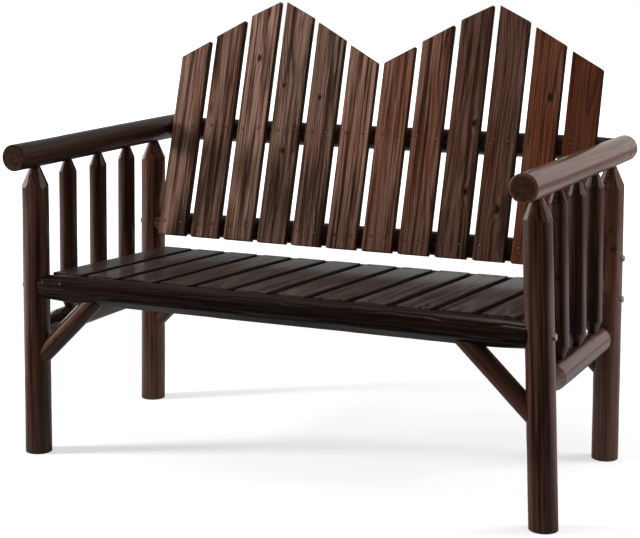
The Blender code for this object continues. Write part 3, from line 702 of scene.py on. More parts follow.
class Log:
    """A peeled log that takes its line and thickness from a node of the frame."""

    # share of the node's radius that is left after peeling, and number of shallow waves
    PEELED_SHARE = 0.996
    WAVE_COUNT = 7
    # distance between stations, and columns round a log without facets and across one facet
    STEP = 0.009
    ROUND_COLUMNS = 96
    FACET_COLUMNS = 9
    # a knot's swell and the dimple in it, how fast both fade, how far it bends the rings, how dark it is,
    # which also sets the painted shade of the furrows and of the sunk screws
    KNOT_SWELL = 0.0009
    KNOT_SWELL_FADE = 0.5
    KNOT_DIMPLE = 0.0004
    KNOT_DIMPLE_FADE = 4
    KNOT_RING_BEND = 0.006
    KNOT_DARKNESS = 0.8
    # the small ripple in a furrow's sway, as a share of the sway, and its radians for each length of it
    RIPPLE_SHARE = 0.4
    RIPPLE_TURN = 23
    # least rise by which the rebate's reach is divided, so that it stays finite
    LEAST_RISE = 0.02

    def __init__(self, node, direction, across, seed):
        self.node = node
        self.direction = np.array(direction, dtype=float)
        self.direction /= np.linalg.norm(self.direction)
        self.across = np.array(across, dtype=float)
        self.upward = np.cross(self.direction, self.across)
        points = square_points(node)
        middle = np.zeros(3)
        spans = []
        for axis in (self.across, self.upward):
            reach = points @ axis
            middle += axis * (reach.max() + reach.min()) / 2
            spans.append(reach.max() - reach.min())
        reach = points @ self.direction
        self.radius = sum(spans) / 4
        self.start = middle + self.direction * reach.min()
        self.length = reach.max() - reach.min()
        self.dice = random.Random(seed)
        self.waves = [self.wave() for _ in range(self.WAVE_COUNT)]
        self.knots = []
        self.flats = []
        self.furrows = []
        self.notch = None
        self.taper = 0
        self.taper_share = 1
        self.tone = (self.dice.uniform(-0.12, 0.12), self.dice.uniform(-0.1, 0.25), 0)
        self.pith = (self.dice.uniform(-0.004, 0.004), self.dice.uniform(-0.004, 0.004))
        self.facet_turns = [0]
        self.facet_leans = [1]

    def screw_point(self, distance, turn, rise):
        """Place and facing of a screw at a distance along the log and a turn round it."""
        facing = math.cos(turn) * self.across + math.sin(turn) * self.upward
        radius, _ = self.surface(np.array([distance]), np.array([turn]))
        point = self.start + self.direction * distance + facing * (radius[0] + rise)
        return Stance().lean(point[None])[0], facing

    def wave(self):
        """One shallow wave of the surface: depth share, length, count round the log and phase."""
        dice = self.dice
        depth_share = dice.uniform(0.001, 0.0035)
        return (depth_share, dice.uniform(0.12, 0.5), dice.randint(0, 4), dice.uniform(0, CHANCE_TURN))

    def stain(self, lightness, redness, calm=0):
        """Make the log lighter and redder than its chance tone, and its grain fainter; on the arms and
        side rails this is painted light and shade.
        """
        self.tone = (self.tone[0] + lightness, self.tone[1] + redness, calm)

    def cut_facets(self, count):
        """Choose the knife cuts of the whittled ends."""
        widths = [self.dice.uniform(0.75, 1.25) for _ in range(count)]
        turn = self.dice.uniform(0, 1)
        self.facet_turns = []
        for width in widths:
            self.facet_turns.append(turn)
            turn += math.tau * width / sum(widths)
        self.facet_leans = [self.dice.uniform(0.9, 1.06) for _ in widths]

    def trim(self, near, far):
        """Shorten the line by some lengths at its ends."""
        self.start = self.start + self.direction * near
        self.length -= near + far

    def sprinkle_knots(self, count, low=0.12, high=0.88):
        """Scatter small knots: place along, turn and radius."""
        for _ in range(count):
            place = self.length * self.dice.uniform(low, high)
            self.knots.append((place, self.dice.uniform(0, CHANCE_TURN), self.dice.uniform(0.004, 0.008)))

    def turns(self):
        """Angles of the columns, with one on each edge between facets."""
        if len(self.facet_turns) == 1:
            return np.linspace(0, math.tau, self.ROUND_COLUMNS, endpoint=False)
        turns = self.facet_turns + [self.facet_turns[0] + math.tau]
        edges = [(first + second) / 2 for first, second in zip(turns, turns[1:])]
        edges.append(edges[0] + math.tau)
        spans = zip(edges, edges[1:])
        return np.concatenate([np.linspace(*span, self.FACET_COLUMNS, endpoint=False) for span in spans])

    def turn_between(self, facing, turn):
        """The shorter way round from one turn to another."""
        return (turn - facing + math.pi) % math.tau - math.pi

    def surface(self, distance, turn):
        """Radius of the peeled surface, and the share of knots and furrows at each place; in the furrows
        that share is painted shade.
        """
        radius = np.full(distance.shape, self.radius * self.PEELED_SHARE)
        for depth_share, wave_length, count, phase in self.waves:
            phases = math.tau * distance / wave_length + count * turn + phase
            radius += self.radius * depth_share * np.sin(phases)
        if self.taper:
            from_end = np.clip(np.minimum(distance, self.length - distance) / self.taper, 0, 1)
            radius *= self.taper_share + (1 - self.taper_share) * np.sin(from_end * math.pi / 2)
        for facing, reach_share, sway, sway_length in self.flats:
            swayed = facing + sway * np.sin(math.tau * distance / sway_length + facing)
            straight = np.maximum(np.cos(turn - swayed), LEAST_COSINE)
            radius = np.minimum(radius, self.radius * reach_share / straight)
        closeness = np.zeros(distance.shape)
        for place, facing, size in self.knots:
            around = self.turn_between(facing, turn)
            gap = ((distance - place) ** 2 + (self.radius * around) ** 2) / size**2
            closeness = np.maximum(closeness, np.exp(-gap))
            radius += self.KNOT_SWELL * np.exp(-gap * self.KNOT_SWELL_FADE)
            radius -= self.KNOT_DIMPLE * np.exp(-gap * self.KNOT_DIMPLE_FADE)
        # furrows sink the surface and add to the share of knots, which darkens them as painted shade in
        # the groove
        for facing, depth, width, sway, sway_length in self.furrows:
            share = distance / sway_length
            waves = np.sin(math.tau * share) + self.RIPPLE_SHARE * np.sin(self.RIPPLE_TURN * share)
            around = self.turn_between(facing + sway * waves, turn)
            gap = (self.radius * around / width) ** 2
            radius -= depth * np.exp(-gap)
            closeness = np.maximum(closeness, np.exp(-gap))
        return np.minimum(radius, self.radius), closeness

    def notched(self, radius, turn):
        """The radius where slats lie in a rebate."""
        if self.notch is None:
            return radius
        # the side it opens to, how far its wall and its ledge are from the axis, and the ledge's slope
        side, wall, ledge, slope = self.notch
        sideways = side * np.cos(turn)
        rise = np.sin(turn) - slope * np.cos(turn)
        upwards = rise > self.LEAST_RISE
        to_ledge = ledge / np.maximum(rise, self.LEAST_RISE)
        if wall > 0:
            to_wall = wall / np.maximum(sideways, self.LEAST_RISE)
            reach = np.maximum(to_ledge, to_wall)
            cut = upwards & (sideways > self.LEAST_RISE)
        else:
            reach = to_ledge
            cut = upwards & (to_ledge * sideways > wall)
        return np.where(cut, np.minimum(radius, reach), radius)

    def mesh(self, near, far):
        """The closed mesh of the log between two kinds of end."""
        turn = self.turns()
        inner = near.distances()
        outer = [self.length - place for place in reversed(far.distances())]
        steps = max(2, round((outer[0] - inner[-1]) / self.STEP))
        middle = np.linspace(inner[-1], outer[0], steps + 1)[1:-1]
        stations = np.concatenate([inner, middle, outer])[:, None]
        distance = np.repeat(stations, len(turn), axis=1)
        across = np.broadcast_to(turn, distance.shape)
        rough, _ = self.surface(distance, across)

        # near a fitted end the stations move so that they follow the surface of the other log
        for end, row, sign in ((near, 0, 1), (far, -1, -1)):
            if isinstance(end, Fitted):
                gap = end.start(self, turn, rough[row], sign)
                nearness = stations if sign > 0 else self.length - stations
                fade = np.clip(1 - nearness / end.FADE_LENGTH, 0, 1)
                distance = distance + sign * gap * fade

        radius, knot = self.surface(distance, across)
        radius = self.notched(radius, across)
        radius = np.minimum(radius, near.limit(distance, across, self))
        radius = np.minimum(radius, far.limit(self.length - distance, across, self))
        near_rows = [part[::-1] for part in self.end_rows(near, turn, radius[0], knot[0], -1)]
        far_rows = self.end_rows(far, turn, radius[-1], knot[-1], 1)
        blocks = zip(near_rows, (distance, radius, knot), far_rows)
        distance, radius, knot = (np.vstack(block) for block in blocks)
        return self.skin(distance, radius, knot, turn, (len(near_rows[0]), len(far_rows[0])))

    def end_rows(self, end, turn, radius, knot, sign):
        """Rows of distance, radius and knot share that close an end, from its edge to its middle."""
        rows = []
        if isinstance(end, Fitted):
            for share in end.FACE_SHARES:
                inset = radius * share
                place = end.start(self, turn, inset, -sign)
                rows.append((place if sign < 0 else self.length - place, inset, knot))
        else:
            for beyond, ring in end.cap(self):
                place = (0 if sign < 0 else self.length) + sign * beyond
                rows.append((np.full(len(turn), place), np.full(len(turn), ring), knot * 0))
        return [np.array([row[part] for row in rows]) for part in range(3)]

    def skin(self, distance, radius, knot, turn, cap_rows):
        """Turn rows of distances and radii into a mesh with the attributes that the wood reads."""
        first = radius * np.cos(turn)
        second = radius * np.sin(turn)
        local = np.stack([first, second, distance], axis=-1).reshape(-1, 3)
        tips = np.array([[0, 0, distance[0].mean()], [0, 0, distance[-1].mean()]])
        flat = np.vstack([local, tips])
        basis = np.array([self.across, self.upward, self.direction])
        points = Stance().lean(self.start + flat @ basis)
        shape = radius.shape
        mesh = closed_mesh(self.node, points[:-2], shape, points[-2:-1], points[-1:])
        knots = np.append(knot.ravel(), [0, 0])
        from_pith = np.hypot(flat[:, 0] - self.pith[0], flat[:, 1] - self.pith[1])
        ends = np.zeros(shape)
        ends[: cap_rows[0]] = 1
        ends[shape[0] - cap_rows[1] :] = 1
        shift = [self.dice.uniform(0, GRAIN_SPAN) for _ in range(3)]
        add_values(mesh, "grain", flat + shift)
        add_values(mesh, "ring", from_pith + knots * self.KNOT_RING_BEND)
        add_values(mesh, "knot", knots * self.KNOT_DARKNESS)
        add_values(mesh, "edge", np.zeros(len(flat)))
        add_values(mesh, "cut_end", np.append(ends.ravel(), [1, 1]))
        add_values(mesh, "tone", np.tile(self.tone, (len(flat), 1)))
        return mesh


def post_log(side, end):
    """The log of a post."""
    seed = 10 + 2 * SIDES.index(side) + ENDS.index(end)
    return Log("post_" + end + "_" + side, (0, 0, 1), (1, 0, 0), seed)


def arm_log(side):
    """The log of an arm."""
    return Log("arm_" + side, (0, 1, 0), (0, 0, 1), 20 + SIDES.index(side))


def rail_log(name, seed):
    """The log of a seat rail or a back rail, from the left to the right."""
    return Log(name, (1, 0, 0), (0, 1, 0), seed)


def new_tree(name, inputs):
    """A tree of geometry nodes that is given geometry, a material and some named numbers."""
    tree = bpy.data.node_groups.new(name, "GeometryNodeTree")
    nodes = Nodes(tree)
    for text, kind in {"Geometry": "Geometry", **inputs, "Material": "Material"}.items():
        tree.interface.new_socket(text, in_out="INPUT", socket_type="NodeSocket" + kind)
    tree.interface.new_socket("Geometry", in_out="OUTPUT", socket_type="NodeSocketGeometry")
    source = tree.nodes.new("NodeGroupInput")
    given = {socket.name: Socket(nodes, socket) for socket in source.outputs if socket.name}
    return tree, nodes, given


def finish_tree(nodes, shape, material):
    """Make real what a tree has shaped, and hand it over in its material."""
    real = nodes.add("GeometryNodeRealizeInstances", {}, {"Geometry": shape})
    dressed = nodes.add("GeometryNodeSetMaterial", {}, {"Geometry": real, "Material": material})
    nodes.add("NodeGroupOutput", {}, {0: dressed})


# how far the cells of a slat are crowded towards its edges: across, through and along
CROWDING_SHARES = (0.55, 0.4, 0.0)


def slat_blank_tree():
    """Geometry nodes for a slat with eased edges and a slanted top."""
    lengths = ("Width", "Thickness", "Left length", "Right length", "Rounding")
    counts = ("Cells across", "Cells through", "Cells along")
    inputs = {**dict.fromkeys(lengths, "Float"), **dict.fromkeys(counts, "Int")}
    tree, nodes, given = new_tree("slat_blank", inputs)

    longest = given["Left length"].maths("MAXIMUM", given["Left length"], given["Right length"])
    size = nodes.add("ShaderNodeCombineXYZ", {}, {0: given["Width"], 1: given["Thickness"], 2: longest})
    grid = {
        "Size": size,
        "Vertices X": given["Cells across"] + 1,
        "Vertices Y": given["Cells through"] + 1,
        "Vertices Z": given["Cells along"] + 1,
    }
    cube = nodes.add("GeometryNodeMeshCube", {}, grid)

    # a cubic that keeps -1, 0 and 1 in place draws the cells towards the edges
    place = nodes.parts(nodes.add("GeometryNodeInputPosition"))
    halves = [given["Width"] * 0.5, given["Thickness"] * 0.5, longest * 0.5]
    crowded = []
    for value, half, crowding in zip(place, halves, CROWDING_SHARES):
        share = value / half
        packed = share * 1.5 - share * share * share * 0.5
        crowded.append(half * (share * (1 - crowding) + packed * crowding))

    # each place is held inside a smaller box and put back out by the rounding, which eases the edges
    held = []
    for value, half in zip(crowded, halves):
        flat = half - given["Rounding"]
        held.append(value.maths("MAXIMUM", value.maths("MINIMUM", value, flat), flat * -1))
    core = nodes.add("ShaderNodeCombineXYZ", {}, dict(enumerate(held)))
    full = nodes.add("ShaderNodeCombineXYZ", {}, dict(enumerate(crowded)))
    outwards = nodes.add("ShaderNodeVectorMath", {"operation": "SUBTRACT"}, {0: full, 1: core})
    outwards = nodes.add("ShaderNodeVectorMath", {"operation": "NORMALIZE"}, {0: outwards})
    scaled = {0: outwards, "Scale": given["Rounding"]}
    outwards = nodes.add("ShaderNodeVectorMath", {"operation": "SCALE"}, scaled)
    eased = nodes.add("ShaderNodeVectorMath", {"operation": "ADD"}, {0: core, 1: outwards})

    # the length runs from that of the left edge to that of the right edge
    x, y, z = nodes.parts(eased)
    rightness = x / given["Width"] + 0.5
    reach = given["Left length"] + (given["Right length"] - given["Left length"]) * rightness
    along = (z / longest + 0.5) * reach
    final = nodes.add("ShaderNodeCombineXYZ", {}, {0: x, 1: y, 2: along})
    shaped = nodes.add("GeometryNodeSetPosition", {}, {"Geometry": cube, "Position": final})
    finish_tree(nodes, shaped, given["Material"])
    return tree


# length of a screw's cross as a share of the head, and depth of its bars as a share of the head's rise
CROSS_LENGTH_SHARE = 0.62
CROSS_DEPTH_SHARE = 1.1


def screw_tree():
    """Geometry nodes for domed screw heads with a cross recess on points that say which way they face."""
    tree, nodes, given = new_tree("screws_on_points", dict.fromkeys(("Head", "Rise", "Cross"), "Float"))

    radius = given["Head"] * 0.5
    ball = nodes.add("GeometryNodeMeshUVSphere", {}, {"Segments": 20, "Rings": 9, "Radius": radius})
    flatten = nodes.add("ShaderNodeCombineXYZ", {}, {0: 1.0, 1: 1.0, 2: given["Rise"] / radius})
    dome = nodes.add("GeometryNodeTransform", {}, {"Geometry": ball, "Scale": flatten})
    bars = []
    for long_way in (0, 1):
        sides = {0: given["Cross"], 1: given["Cross"], 2: given["Rise"] * CROSS_DEPTH_SHARE}
        sides[long_way] = given["Head"] * CROSS_LENGTH_SHARE
        bar = nodes.add("ShaderNodeCombineXYZ", {}, sides)
        bars.append(nodes.add("GeometryNodeMeshCube", {}, {"Size": bar}))
    high = nodes.add("ShaderNodeCombineXYZ", {}, {2: given["Rise"]})
    union = {"operation": "UNION", "solver": "EXACT"}
    crossed = nodes.add("GeometryNodeMeshBoolean", union, {"Mesh 2": bars})
    lifted = nodes.add("GeometryNodeTransform", {}, {"Geometry": crossed, "Translation": high})
    cut = {"operation": "DIFFERENCE", "solver": "EXACT"}
    head = nodes.add("GeometryNodeMeshBoolean", cut, {"Mesh 1": dome, "Mesh 2": lifted})
    read = "GeometryNodeInputNamedAttribute"
    facing = nodes.add(read, {"data_type": "FLOAT_VECTOR"}, {"Name": "facing"})
    spin = nodes.add(read, {"data_type": "FLOAT"}, {"Name": "spin"})
    turned = nodes.add("FunctionNodeAlignRotationToVector", {"axis": "Z"}, {"Vector": facing})
    heads = {"Points": given["Geometry"], "Instance": head, "Rotation": turned}
    placed = nodes.add("GeometryNodeInstanceOnPoints", {}, heads)
    about = nodes.add("ShaderNodeCombineXYZ", {}, {2: spin})
    turning = {"Instances": placed, "Rotation": about, "Local Space": True}
    spun = nodes.add("GeometryNodeRotateInstances", {}, turning)
    finish_tree(nodes, spun, given["Material"])
    return tree


def grown_mesh(name, tree, values, source=None):
    """The plain mesh that a tree of geometry nodes makes from some named values."""
    carrier = bpy.data.objects.new(name, source or bpy.data.meshes.new(name))
    bpy.context.scene.collection.objects.link(carrier)
    growth = carrier.modifiers.new("growth", "NODES")
    growth.node_group = tree
    for item in tree.interface.items_tree:
        if item.in_out == "INPUT" and item.name in values:
            growth[item.identifier] = values[item.name]
    graph = bpy.context.evaluated_depsgraph_get()
    mesh = bpy.data.meshes.new_from_object(carrier.evaluated_get(graph))
    carrier.modifiers.remove(growth)
    bpy.data.objects.remove(carrier)
    return mesh


class Board:
    """A slat that takes its place, lean and lengths from a node of the frame."""

    # squeeze along the slat within a knot, how far it pushes the rings apart, and how fast that fades
    KNOT_STRETCH = 0.6
    KNOT_BULGE = 0.9
    BULGE_SPREAD = 0.22
    # waves of the pith and of the rings in radians a metre, and how far the rings wander
    PITH_WAVES = 11
    RING_WAVES = 23
    RING_WOBBLE = 0.0015
    # width over which the painted shade of the sides sets in, and how dark the painted shade in the sunk
    # wood round a screw is
    SIDE_WIDTH = 0.004
    SCORCH = 0.62

    def __init__(self, node, seed):
        self.node = node
        leaning = mesh_points(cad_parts[node].data)
        points = Stance().square(leaning)
        self.centre = points.mean(axis=0)

        # the slat's own axes: along it, across it, and away from the face that is seen
        flat = (points - self.centre)[:, 1:]
        _, _, axes = np.linalg.svd(flat, full_matrices=False)
        along = np.array([0, *axes[0]])
        along *= np.sign(along[2] + along[1])
        self.along = along
        self.sideways = np.array([1.0, 0, 0])
        self.normal = np.cross(along, self.sideways)
        local = (points - self.centre) @ np.array([self.sideways, self.normal, along]).T
        self.low = local.min(axis=0)
        self.high = local.max(axis=0)
        self.width = self.high[0] - self.low[0]
        self.thickness = self.high[1] - self.low[1]

        # a slanted top makes one edge longer than the other
        middle = (self.low[0] + self.high[0]) / 2
        lefts = local[local[:, 0] < middle]
        rights = local[local[:, 0] > middle]
        self.left_length = lefts[:, 2].max() - self.low[2]
        self.right_length = rights[:, 2].max() - self.low[2]
        self.origin = self.centre + middle * self.sideways + self.low[2] * along
        self.origin = self.origin + self.normal * (self.low[1] + self.high[1]) / 2
        square = (points - self.origin) @ np.array([self.sideways, self.normal, along]).T
        self.leaning = np.linalg.lstsq(self.features(square), leaning, rcond=None)[0]
        self.dice = random.Random(seed)
        self.knots = []
        self.screws = []
        self.tone = (self.dice.uniform(-0.12, 0.12), self.dice.uniform(-0.15, 0.2), 0)
        self.pith = (self.dice.uniform(-0.05, 0.05), self.dice.uniform(-0.075, -0.03))
        lean = self.dice.uniform(-0.03, 0.03)
        self.sway = (lean, self.dice.uniform(0.004, 0.009), self.dice.uniform(0, CHANCE_TURN))

    def features(self, local):
        """The terms of the map from the slat's own axes to the leaning frame."""
        u, v, s = local.T
        return np.column_stack([np.ones(len(local)), u, v, s, u * s, v * s])

    def world(self, local):
        """Points of the slat in the leaning frame, which keeps its long edges straight."""
        return self.features(local) @ self.leaning

    def square(self, local):
        """A point of the slat in the square frame."""
        return self.origin + np.array(local) @ np.array([self.sideways, self.normal, self.along])

    def mesh(self, tree, sizes, kind):
        """The slat's mesh, with its figure of rings and knots, and the wood sunk round its screws with
        painted shade in it.
        """
        longest = max(self.left_length, self.right_length)
        values = {
            "Width": self.width,
            "Thickness": self.thickness,
            "Left length": self.left_length,
            "Right length": self.right_length,
            "Rounding": sizes.rounding,
            "Cells across": sizes.across,
            "Cells through": sizes.through,
            "Cells along": round(longest / sizes.cell),
            "Material": finish_of(kind),
        }
        mesh = grown_mesh(self.node, tree, values)
        local = np.empty(len(mesh.vertices) * 3)
        mesh.vertices.foreach_get("co", local)
        local = local.reshape(-1, 3)
        u, v, s = local.T
        closeness = np.zeros(len(local))
        bulge = np.zeros(len(local))
        for across_share, along_share, size in self.knots:
            away_along = (s - along_share * longest) * self.KNOT_STRETCH
            gap = ((u - across_share * self.width) ** 2 + away_along**2) / size**2
            closeness = np.maximum(closeness, np.exp(-gap))
            bulge += self.KNOT_BULGE * size * np.exp(-gap * self.BULGE_SPREAD)
        lift = np.zeros(len(local))
        pit_shade = np.zeros(len(local))
        for across_place, along_place in self.screws:
            gap = np.hypot(u - across_place, s - along_place) / sizes.pit
            lift -= sizes.pit_depth * np.exp(-((gap * 1.25) ** 4))
            pit_shade = np.maximum(pit_shade, np.exp(-(gap**4)))
        front = v < 0
        lean, swing, phase = self.sway
        pith_u = self.pith[0] + lean * s + swing * np.sin(s * self.PITH_WAVES + phase)
        wobble = self.RING_WOBBLE * np.sin(s * self.RING_WAVES + phase)
        ring = np.hypot(u - pith_u, v - self.pith[1]) + bulge + wobble
        # edge rises to 1 on the slat's sides, which the wood darkens as painted shade between the slats
        edge = 1 - np.minimum(self.width / 2 - np.abs(u), self.SIDE_WIDTH) / self.SIDE_WIDTH
        near_end = sizes.rounding * 0.4
        ends = ((s < near_end) | (s > self.reach(u) - near_end)).astype(float)
        shift = [self.dice.uniform(0, GRAIN_SPAN) for _ in range(3)]
        warp = np.column_stack([u + bulge * 0.5, v, s])
        add_values(mesh, "grain", warp + shift)
        add_values(mesh, "ring", ring)
        # this attribute also carries painted shade in the sunk wood round the screws on the front face
        add_values(mesh, "knot", np.maximum(closeness, pit_shade * front * self.SCORCH))
        add_values(mesh, "edge", edge)
        add_values(mesh, "cut_end", ends)
        add_values(mesh, "tone", np.tile(self.tone, (len(local), 1)))
        moved = local.copy()
        moved[:, 1] -= lift * front
        mesh.vertices.foreach_set("co", self.world(moved).ravel())
        mesh.update()
        return mesh

    def reach(self, u):
        """The slat's length at a place across it."""
        share = u / self.width + 0.5
        return self.left_length + (self.right_length - self.left_length) * share

    def screw_points(self, rise):
        """Places and facings of the screws in the slat's front or top face."""
        points = []
        for across_place, along_place in self.screws:
            local = np.array([[across_place, -self.thickness / 2 + rise, along_place]])
            points.append((self.world(local)[0], -self.normal))
        return points


def place_screws(name, points, seed):
    """One piece that holds the screws at some points, each turned its own way."""
    sizes = settings("bench_slats")
    dice = random.Random(seed)
    source = bpy.data.meshes.new(name)
    source.from_pydata([tuple(point) for point, _ in points], [], [])
    add_values(source, "facing", [tuple(facing) for _, facing in points])
    add_values(source, "spin", [dice.uniform(0, math.pi / 2) for _ in points])
    tree = bpy.data.node_groups.get("screws_on_points") or screw_tree()
    values = {
        "Head": sizes.screw_head,
        "Rise": sizes.screw_rise,
        "Cross": sizes.screw_cross,
        "Material": finish_of("dull_zinc"),
    }
    mesh = grown_mesh(name, tree, values, source)
    return show_piece(mesh, name, "dull_zinc", ())


TURNED_COLUMNS = 48


def turned_mesh(name, start, direction, profile, hexagon):
    """A turned solid from rings of distance and radius, some of them six-sided."""
    direction = Vector(direction).normalized()
    across = direction.orthogonal().normalized()
    upward = direction.cross(across)
    work = bmesh.new()
    loops = []
    for number, (distance, radius) in enumerate(profile):
        loop = []
        for step in range(TURNED_COLUMNS):
            turn = math.tau * step / TURNED_COLUMNS
            reach = radius
            if number in hexagon:
                reach = radius / math.cos(turn % (math.pi / 3) - math.pi / 6)
            offset = across * math.cos(turn) + upward * math.sin(turn)
            loop.append(work.verts.new(Vector(start) + direction * distance + offset * reach))
        loops.append(loop)
    for lower, upper in zip(loops, loops[1:]):
        for step in range(TURNED_COLUMNS):
            following = (step + 1) % TURNED_COLUMNS
            work.faces.new((lower[step], lower[following], upper[following], upper[step]))
    work.faces.new(reversed(loops[0]))
    work.faces.new(loops[-1])
    bmesh.ops.recalc_face_normals(work, faces=work.faces)
    mesh = bpy.data.meshes.new(name)
    work.to_mesh(mesh)
    work.free()
    return mesh


# how much lighter and redder than its chance tone each kind of log is, and how much calmer its figure; the
# right arm and right side rail are lightened, and the right arm's figure calmed, as painted light and
# sheen, and the left ones are darkened as painted shade
LOG_TONES = {
    "post_front": (-0.15, 0.15),
    "post_rear": (0.35, 0.3),
    "arm_left": (-0.4, 0.1),
    "arm_right": (0.85, 0, 0.6),
    "side_rail_left": (-0.2, 0.1),
    "side_rail_right": (0.35, 0.1),
    "baluster": (-0.35, 0.1),
    "seat_rail": (-0.92, -0.1),
    "back_rail": (-0.3, 0),
    "brace": (-0.2, -0.3),
}


class BENCH_OT_posts(Operator):
    """Make the four posts, whittled under the arms"""

    bl_idname = "bench.posts"
    bl_label = "Posts"

    def execute(self, context):
        """Build the pieces."""
        sizes = settings("bench_logs")
        for side in SIDES:
            for end in ENDS:
                log = post_log(side, end)
                log.trim(0, sizes.post_tenon)
                log.cut_facets(sizes.facets)
                log.sprinkle_knots(3)
                log.stain(*LOG_TONES["post_" + end])
                tip = sizes.post_tenon_radius + sizes.tenon_lip
                top = Whittled(sizes.post_taper, tip, sizes.post_tenon_radius, sizes.post_tenon)
                mesh = log.mesh(Sawn(sizes.foot_rounding), top)
                show_piece(mesh, log.node + "_log", "log_stain", [log.node])
        return {"FINISHED"}


# how far the arms' looks end inside the arms' own end faces
ARM_TRIM = 0.0001


class BENCH_OT_arms(Operator):
    """Make the two arms, with round sawn ends"""

    bl_idname = "bench.arms"
    bl_label = "Arms"

    def execute(self, context):
        """Build the pieces."""
        sizes = settings("bench_logs")
        for side in SIDES:
            log = arm_log(side)
            log.trim(ARM_TRIM, ARM_TRIM)
            log.sprinkle_knots(4)
            log.stain(*LOG_TONES["arm_" + side])
            end = Sawn(sizes.arm_rounding)
            show_piece(log.mesh(end, end), log.node + "_log", "log_stain", [log.node])
        return {"FINISHED"}


class BENCH_OT_side_rails(Operator):
    """Make the two side rails, whittled at both ends"""

    bl_idname = "bench.side_rails"
    bl_label = "Side rails"

    def execute(self, context):
        """Build the pieces."""
        sizes = settings("bench_logs")
        for side in SIDES:
            log = Log("side_rail_" + side, (0, 1, 0), (0, 0, 1), 30 + SIDES.index(side))
            log.trim(sizes.rail_tenon, sizes.rail_tenon)
            log.cut_facets(sizes.facets)
            log.sprinkle_knots(3)
            log.stain(*LOG_TONES["side_rail_" + side])
            tip = sizes.rail_tenon_radius + sizes.tenon_lip
            end = Whittled(sizes.rail_taper, tip, sizes.rail_tenon_radius, sizes.rail_tenon)
            show_piece(log.mesh(end, end), log.node + "_log", "log_stain", [log.node])
        return {"FINISHED"}


class BENCH_OT_balusters(Operator):
    """Make the balusters of both sides, whittled at both ends"""

    bl_idname = "bench.balusters"
    bl_label = "Balusters"

    def execute(self, context):
        """Build the pieces."""
        sizes = settings("bench_logs")
        names = sorted(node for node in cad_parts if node.startswith("baluster"))
        for number, name in enumerate(names):
            log = Log(name, (0, 0, 1), (1, 0, 0), 40 + number)
            log.trim(sizes.baluster_tenon, sizes.baluster_tenon)
            log.cut_facets(sizes.facets - 2)
            log.sprinkle_knots(1)
            log.stain(*LOG_TONES["baluster"])
            tip = sizes.baluster_tenon_radius + sizes.tenon_lip
            end = Whittled(sizes.baluster_taper, tip, sizes.baluster_tenon_radius, sizes.baluster_tenon)
            show_piece(log.mesh(end, end), name + "_log", "log_stain", [name])
        return {"FINISHED"}


# share of their thickness that the rails keep at their ends, and that the braces are hollowed for
SEAT_RAIL_END_SHARE = 0.86
BACK_RAIL_END_SHARE = 0.92
BRACE_HOLLOW_SHARE = 0.97
# flats hewn along the seat rails: facing in degrees, share of the radius, sway, length of the sway
SEAT_RAIL_FLATS = ((226, 0.9, 0.07, 0.52), (160, 0.965, 0.05, 0.33))
# furrows along the seat rails, darkened as painted shade in their grooves: facing in degrees, depth,
# width, sway, length of the sway
SEAT_RAIL_FURROWS = ((194, 0.0022, 0.0045, 0.09, 0.46), (140, 0.0012, 0.0025, 0.12, 0.31))
# screws at the left end of the front rail: distances from its end, facing in degrees,
# radius of the painted shade round them, and how deep they are sunk
RAIL_SCREW_PLACES = (0.012, 0.06)
RAIL_SCREW_FACING = 152
RAIL_SCREW_SHADE = 0.009
RAIL_SCREW_SINK = 0.0003


class BENCH_OT_seat_rails(Operator):
    """Make the front and rear seat rails, hollowed at their ends and rebated for the slats"""

    bl_idname = "bench.seat_rails"
    bl_label = "Seat rails"

    def execute(self, context):
        """Build the pieces."""
        sizes = settings("bench_logs")
        board = Board("seat_slat_01", 0)
        slope = board.along[2] / board.along[1]
        under = board.thickness / 2 / board.along[1]
        for end in ENDS:
            log = rail_log(end + "_seat_rail", 60 + ENDS.index(end))
            log.taper = sizes.seat_rail_taper
            log.taper_share = SEAT_RAIL_END_SHARE
            log.stain(*LOG_TONES["seat_rail"])
            log.sprinkle_knots(9, low=0.05, high=0.95)
            log.flats = [(math.radians(facing), *rest) for facing, *rest in SEAT_RAIL_FLATS]
            log.furrows = [(math.radians(facing), *rest) for facing, *rest in SEAT_RAIL_FURROWS]
            edge = board.square([0, 0, 0 if end == "front" else board.left_length])
            away = edge - log.start
            side = 1 if end == "front" else -1
            ledge = away[2] - slope * away[1] - under
            log.notch = (side, side * away[1], ledge, slope)
            posts = [post_log(place, end) for place in SIDES]
            if end == "front":
                facing = math.radians(RAIL_SCREW_FACING)
                # the dark spots round the sunk screws are painted shade, laid in as knots
                log.knots += [(place, facing, RAIL_SCREW_SHADE) for place in RAIL_SCREW_PLACES]
                points = [log.screw_point(place, facing, -RAIL_SCREW_SINK) for place in RAIL_SCREW_PLACES]
                place_screws("front_rail_screws", points, seed=9)
            mesh = log.mesh(*[Fitted(post) for post in posts])
            show_piece(mesh, log.node + "_log", "log_stain", [log.node])
        return {"FINISHED"}


class BENCH_OT_back_rails(Operator):
    """Make the lower and upper back rails, planed flat behind the slats"""

    bl_idname = "bench.back_rails"
    bl_label = "Back rails"

    def execute(self, context):
        """Build the pieces."""
        sizes = settings("bench_logs")
        board = Board("back_slat_01", 0)
        facing = math.atan2(-board.normal[2], -board.normal[1])
        for level in ("lower", "upper"):
            log = rail_log(level + "_back_rail", 75)
            log.taper = sizes.back_rail_taper
            log.taper_share = BACK_RAIL_END_SHARE
            log.sprinkle_knots(5)
            log.stain(*LOG_TONES["back_rail"])
            behind = (board.origin - log.start) @ -board.normal - board.thickness / 2
            log.flats = [(facing, behind / log.radius, 0, 1)]
            others = [arm_log(side) if level == "upper" else post_log(side, "rear") for side in SIDES]
            mesh = log.mesh(*[Fitted(other) for other in others])
            show_piece(mesh, log.node + "_log", "log_stain", [log.node])
        return {"FINISHED"}


